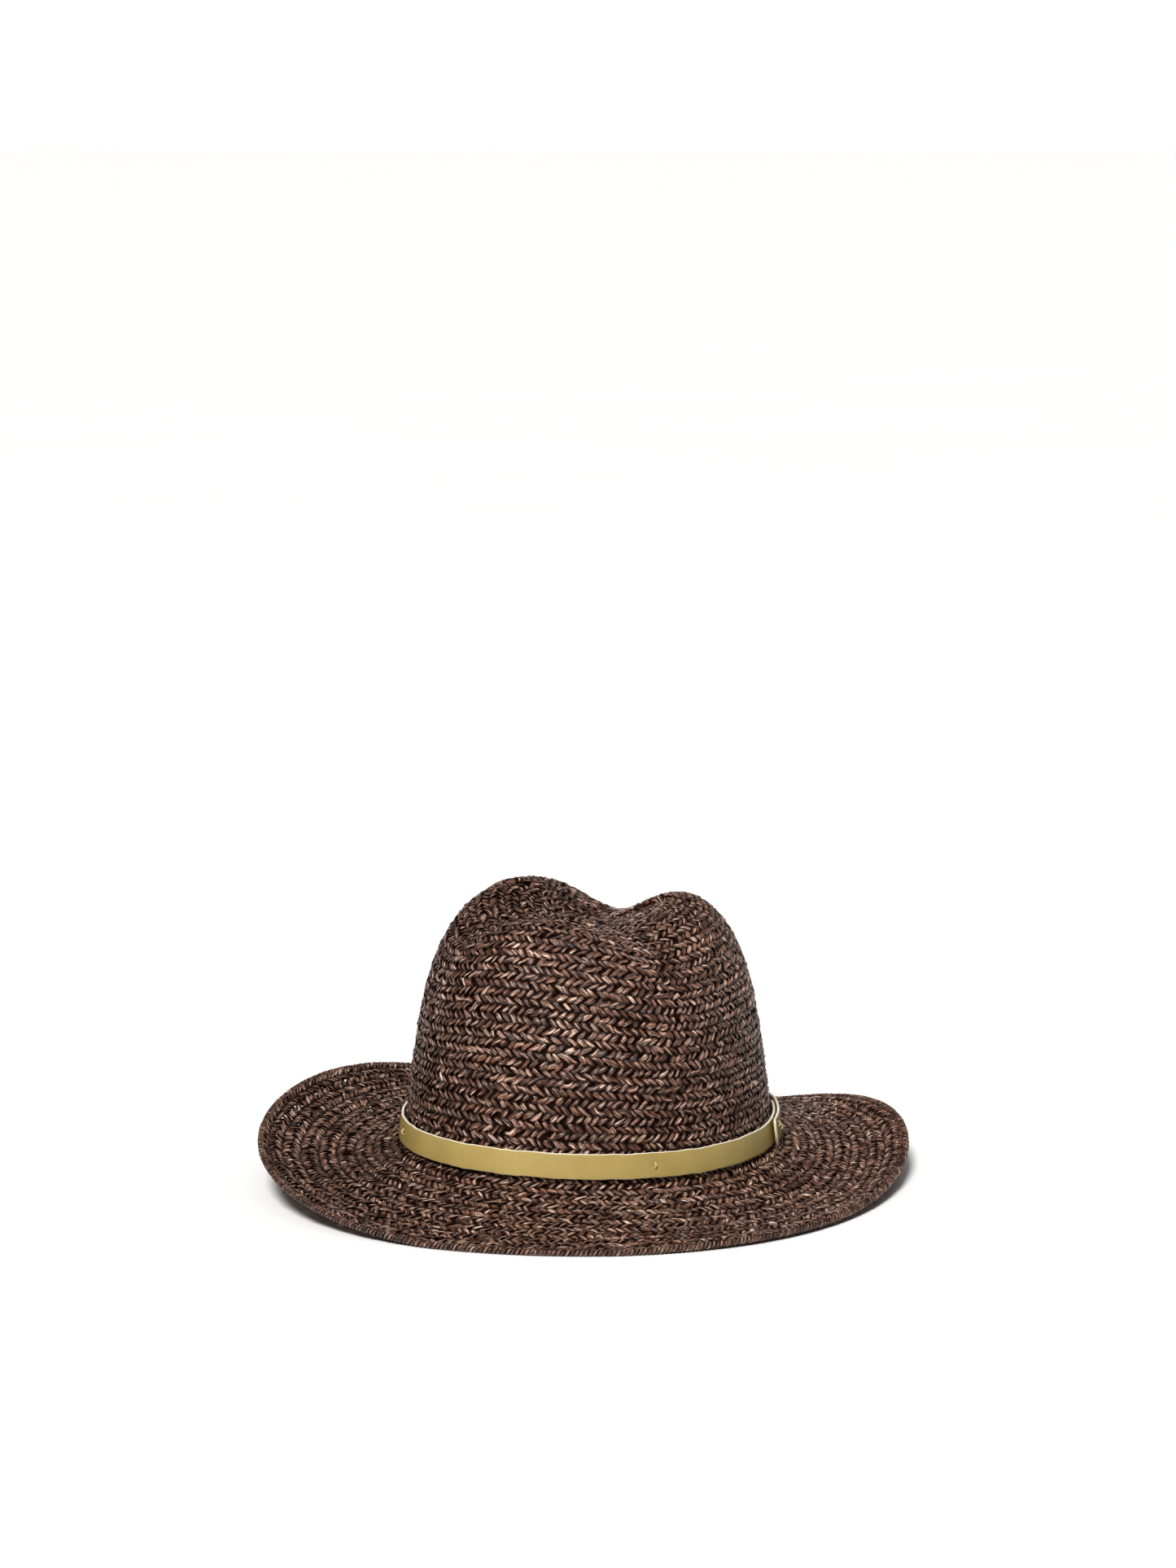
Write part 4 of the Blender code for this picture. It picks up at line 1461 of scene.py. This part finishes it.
@dataclass
class Lining:
    """What is sewn inside the headline: sweatband, piping, stitches, seam tape and two blank labels."""

    block: HatBlock
    straw: float = 0.0022
    gap: float = 0.00035
    band: float = 0.0009
    below: float = 0.0008
    above: float = 0.0300
    reed: float = 0.0009
    stitches: int = 168
    stitch_rows: int = 6
    stitch_height: float = 0.0022
    stitch_thread: float = 0.00024
    band_hem: float = 0.00025
    label: float = 0.0005
    label_hem: float = 0.0001

    def sweep(self, name: str, degrees: np.ndarray, outline: np.ndarray, closed: bool) -> bpy.types.Object:
        """Carry an outline of height and outward distance along the wall.

        Args:
            name: Name of the piece.
            degrees: Angles round the hat, increasing.
            outline: Section points, outer face upwards first.
            closed: Whether it goes all the way round.

        Returns:
            The new object.
        """
        angle = np.radians(degrees)
        points = self.block.wall(angle[:, None], outline[None, :, 0], outline[None, :, 1])
        metres = angle * (self.block.head_half_width + self.block.head_half_length) / 2
        return mesh_from_patches(name, [Patch(points, metres, {}, closed_rows=closed)])

    def outline(self, foot: float, top: float, back: float, thickness: float, hem: float) -> np.ndarray:
        """Section of a thin cloth strip whose upper and lower hems are a little thicker.

        Args:
            foot: Height of its lower edge.
            top: Height of its upper edge.
            back: Distance of its outer face from the crown's outer face.
            thickness: Its thickness, towards the head.
            hem: Extra thickness of the hems.

        Returns:
            Section points.
        """
        share = np.linspace(0.0, 1.0, 17)
        rim = np.exp(-((share / 0.07) ** 2)) + np.exp(-(((1.0 - share) / 0.07) ** 2))
        height = foot + (top - foot) * share
        outer = np.stack([height, np.full_like(share, back)], -1)
        inner = np.stack([height, back - thickness - hem * rim], -1)[::-1]
        return np.concatenate([outer, inner])

    def build_sweatband(self, cloth: bpy.types.Material) -> None:
        """Make and dress the sweatband and its piped edge.

        Args:
            cloth: Material of both.
        """
        ring = np.arange(0.0, 360.0, 1.0)
        back = -(self.straw + self.gap)
        outline = self.outline(-self.below, self.above, back, self.band, self.band_hem)
        band = self.sweep("sweatband_cloth", ring, outline, True)
        dress(band, cloth, "hat", "sweatband", "sweatband")
        turn = np.arange(16) * (TURN / 16)
        piping = np.stack([
            -self.below - self.gap - self.reed + self.reed * np.sin(turn),
            back - self.band / 2 + self.reed * np.cos(turn),
        ], -1)
        dress(self.sweep("sweatband_piping", ring, piping, True), cloth, "hat", "sweatband", "sweatband_reed")

    def build_stitches(self, finish: bpy.types.Material) -> None:
        """Make and dress the row of stitches: short arches of thread, evenly spaced round the band.

        Args:
            finish: Material of the thread.
        """
        share = np.linspace(0.0, 1.0, self.stitch_rows)
        upward = np.tile(np.array([0.0, 0.0, 1.0]), (self.stitch_rows, 1))
        thread = np.full(self.stitch_rows, self.stitch_thread)
        patches = []
        inside = -(self.straw + self.gap + self.band)
        for number in range(self.stitches):
            angle = (number + 0.15 + 0.7 * share) * (TURN / self.stitches)
            out = inside + 0.00015 - 0.00050 * np.sin(share * math.pi)
            path = self.block.wall(angle, self.stitch_height + 0.0002 * (share - 0.5), out)
            points = tube(path, upward, lens(5, thread, thread), np.zeros(self.stitch_rows))
            patches.append(Patch(points, share * 0.003, {}))
        dress(mesh_from_patches("sweatband_stitches", patches), finish, "hat", "thread", "sweatband_thread")

    def build_label(
        self, name: str, degrees: np.ndarray, foot: float, top: float, cloth: bpy.types.Material
    ) -> bpy.types.Object:
        """Make one cloth that lies on the sweatband's inner face.

        Args:
            name: Name of the piece.
            degrees: Angles round the hat that it covers.
            foot: Height of its lower edge above the headline.
            top: Height of its upper edge above the headline.
            cloth: Its material.

        Returns:
            The piece, dressed.
        """
        inside = -(self.straw + 2 * self.gap + self.band)
        outline = self.outline(foot, top, inside, self.label, self.label_hem)
        piece = self.sweep(name, degrees, outline, False)
        body, slot, node = LABELS[name]
        dress(piece, cloth, body, slot, node)
        return piece

    def build_labels(
        self, tape: bpy.types.Material, label: bpy.types.Material, tab: bpy.types.Material
    ) -> None:
        """Make and dress the seam tape, the blank label and the size tab.

        Args:
            tape: Material of the seam tape.
            label: Material of the blank label.
            tab: Material of the size tab.
        """
        piece = self.build_label("seam_tape_cloth", np.linspace(85.0, 95.0, 24), 0.004, 0.028, tape)
        piece = self.build_label("blank_label_cloth", np.linspace(108.0, 128.0, 40), 0.008, 0.024, label)
        piece = self.build_label("size_tab_cloth", np.linspace(68.4, 75.6, 20), 0.0110, 0.0260, tab)

    def build(self, effects: SharedEffects) -> None:
        """Make and dress everything inside the headline.

        Args:
            effects: The shared node groups.
        """
        band = ClothFinish("ribbed_sweatband", (0.050, 0.036, 0.031), (0.016, 0.011, 0.010))
        self.build_sweatband(band.material(effects))
        thread = ThreadFinish("brown_thread", (0.20, 0.14, 0.10), (0.07, 0.045, 0.03))
        self.build_stitches(thread.material(effects))
        tape = ClothFinish("seam_tape", (0.060, 0.046, 0.040), (0.022, 0.016, 0.014), ribs=16.0)
        label = ClothFinish("woven_label", (0.52, 0.46, 0.35), (0.34, 0.29, 0.21), ribs=22.0)
        tab = ClothFinish("woven_tab", (0.70, 0.66, 0.56), (0.50, 0.46, 0.38), ribs=22.0)
        self.build_labels(tape.material(effects), label.material(effects), tab.material(effects))


# Studio ------------------------------------------------------------------------------------------------


class Softbox(Enum):
    """Soft suns: azimuth, elevation and spread in degrees, power and colour."""

    KEY = (3.0, 43.0, 16.0, 4.1, (1.0, 0.99, 0.975))
    TOP = (0.0, 84.0, 60.0, 0.5, (1.0, 1.0, 1.0))


@dataclass
class Studio:
    """Pale floor, soft suns, pale world and the camera."""

    block: HatBlock
    azimuth: float = 15.30
    elevation: float = 12.66
    distance: float = 2.2
    focal_share: float = 3.069
    frame_place: tuple[float, float] = (0.5003, 0.7520)
    aspect: float = 0.75
    world_front: float = 0.05
    world_back: float = 0.26
    world_seen: float = 1.4
    sensor: float = 36.0
    floor_reach: float = 60.0
    floor_rows: int = 60
    floor_columns: int = 20

    @staticmethod
    def direction(azimuth: float, elevation: float) -> Vector:
        """Unit vector towards a place given by azimuth and elevation in degrees."""
        a, e = math.radians(azimuth), math.radians(elevation)
        return Vector((math.sin(a) * math.cos(e), -math.cos(a) * math.cos(e), math.sin(e)))

    def add_floor(self) -> None:
        """Add a wide flat floor, as pale as the world behind it."""
        y = np.linspace(-self.floor_reach, self.floor_reach, self.floor_rows)
        x = np.linspace(-self.floor_reach, self.floor_reach, self.floor_columns)
        grid = np.stack(np.broadcast_arrays(x[None, :], y[:, None], 0.0), -1)
        numbers = np.arange(len(y) * len(x)).reshape(len(y), len(x))
        faces = np.stack([numbers[:-1, :-1], numbers[:-1, 1:], numbers[1:, 1:], numbers[1:, :-1]], -1)
        mesh = bpy.data.meshes.new("studio_floor")
        mesh.from_pydata(grid.reshape(-1, 3).tolist(), [], faces.reshape(-1, 4).tolist())
        mesh.shade_smooth()
        floor = bpy.data.objects.new("studio_floor", mesh)
        bpy.context.scene.collection.objects.link(floor)
        made, graph, shader = start_material("pale_floor")
        place = graph.place()
        cloud = graph.node("ShaderNodeTexNoise", {"Vector": place, "Scale": 1.5})
        colour = graph.mix(cloud.outputs[0], (0.93, 0.93, 0.93), (0.95, 0.95, 0.95))
        connect(graph, shader, colour=colour)
        shader.inputs["Roughness"].default_value = 0.8
        mesh.materials.append(made)

    def add_lights(self) -> None:
        """Add the suns of Softbox, and a pale world that is brighter behind the hat."""
        for box in Softbox:
            azimuth, elevation, spread, power, colour = box.value
            data = bpy.data.lights.new(box.name.lower(), "SUN")
            data.angle, data.energy, data.color = math.radians(spread), power, colour
            lamp = bpy.data.objects.new(box.name.lower(), data)
            away = self.direction(azimuth, elevation)
            lamp.location = away * 2.0
            lamp.rotation_euler = away.to_track_quat("Z", "Y").to_euler()
            bpy.context.scene.collection.objects.link(lamp)
        world = bpy.data.worlds.new("studio")
        world.use_nodes = True
        graph = Graph(world.node_tree)
        seen = graph.node("ShaderNodeLightPath").outputs["Is Camera Ray"]
        way = graph.node("ShaderNodeSeparateXYZ", {0: graph.node("ShaderNodeTexCoord").outputs["Generated"]})
        limits = {0: way.outputs[1], 1: 0.1, 2: 0.8, 3: self.world_front, 4: self.world_back}
        behind = graph.node("ShaderNodeMapRange", limits, interpolation_type="SMOOTHSTEP")
        background = world.node_tree.nodes["Background"]
        background.inputs["Color"].default_value = (1.0, 1.0, 1.0, 1.0)
        strength = graph.math("MAXIMUM", behind.outputs[0], graph.times(seen, self.world_seen))
        world.node_tree.links.new(strength, background.inputs["Strength"])
        bpy.context.scene.world = world

    def add_camera(self) -> None:
        """Add a camera level with the horizon, turned so that the hat's foot is at frame_place."""
        data = bpy.data.cameras.new("camera")
        data.sensor_fit = "VERTICAL"
        data.sensor_height = self.sensor
        data.sensor_width = self.sensor
        data.lens = self.sensor * self.focal_share
        camera = bpy.data.objects.new("camera", data)
        foot = Vector(self.block.shift())
        back = self.direction(self.azimuth, self.elevation)
        right = Vector((math.cos(math.radians(self.azimuth)), math.sin(math.radians(self.azimuth)), 0.0))
        down = math.atan((self.frame_place[1] - 0.5) / self.focal_share)
        aside = math.atan((self.frame_place[0] - 0.5) * self.aspect / self.focal_share)
        forward = Matrix.Rotation(down, 3, right) @ -back
        forward = Matrix.Rotation(aside, 3, Vector((0.0, 0.0, 1.0))) @ forward
        camera.location = foot + back * self.distance
        camera.rotation_mode = "QUATERNION"
        camera.rotation_quaternion = forward.to_track_quat("-Z", "Y")
        bpy.context.scene.collection.objects.link(camera)
        bpy.context.scene.camera = camera
        bpy.context.scene.view_settings.view_transform = "Standard"


def main() -> None:
    """Build every piece in order."""
    logging.basicConfig(level=logging.INFO, format="%(message)s")
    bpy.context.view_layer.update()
    block = HatBlock()
    studio = Studio(block)
    studio.add_camera()
    studio.add_floor()
    studio.add_lights()
    effects = SharedEffects()
    straw = StrawFinish().material(effects)
    StrawBody(block).build(straw)
    EdgeCord(block).build(straw)
    hatband = Hatband(block)
    hatband.build(LeatherFinish().material(effects))
    waxed = ThreadFinish("waxed_thread", (0.72, 0.60, 0.36), (0.40, 0.30, 0.14))
    hatband.build_tacks(waxed.material(effects))
    Lining(block).build(effects)
    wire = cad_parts["brim_wire"]
    wire.data.materials.clear()
    wire.data.materials.append(SteelFinish().material(effects))
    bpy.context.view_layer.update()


if __name__ == "__main__":
    main()
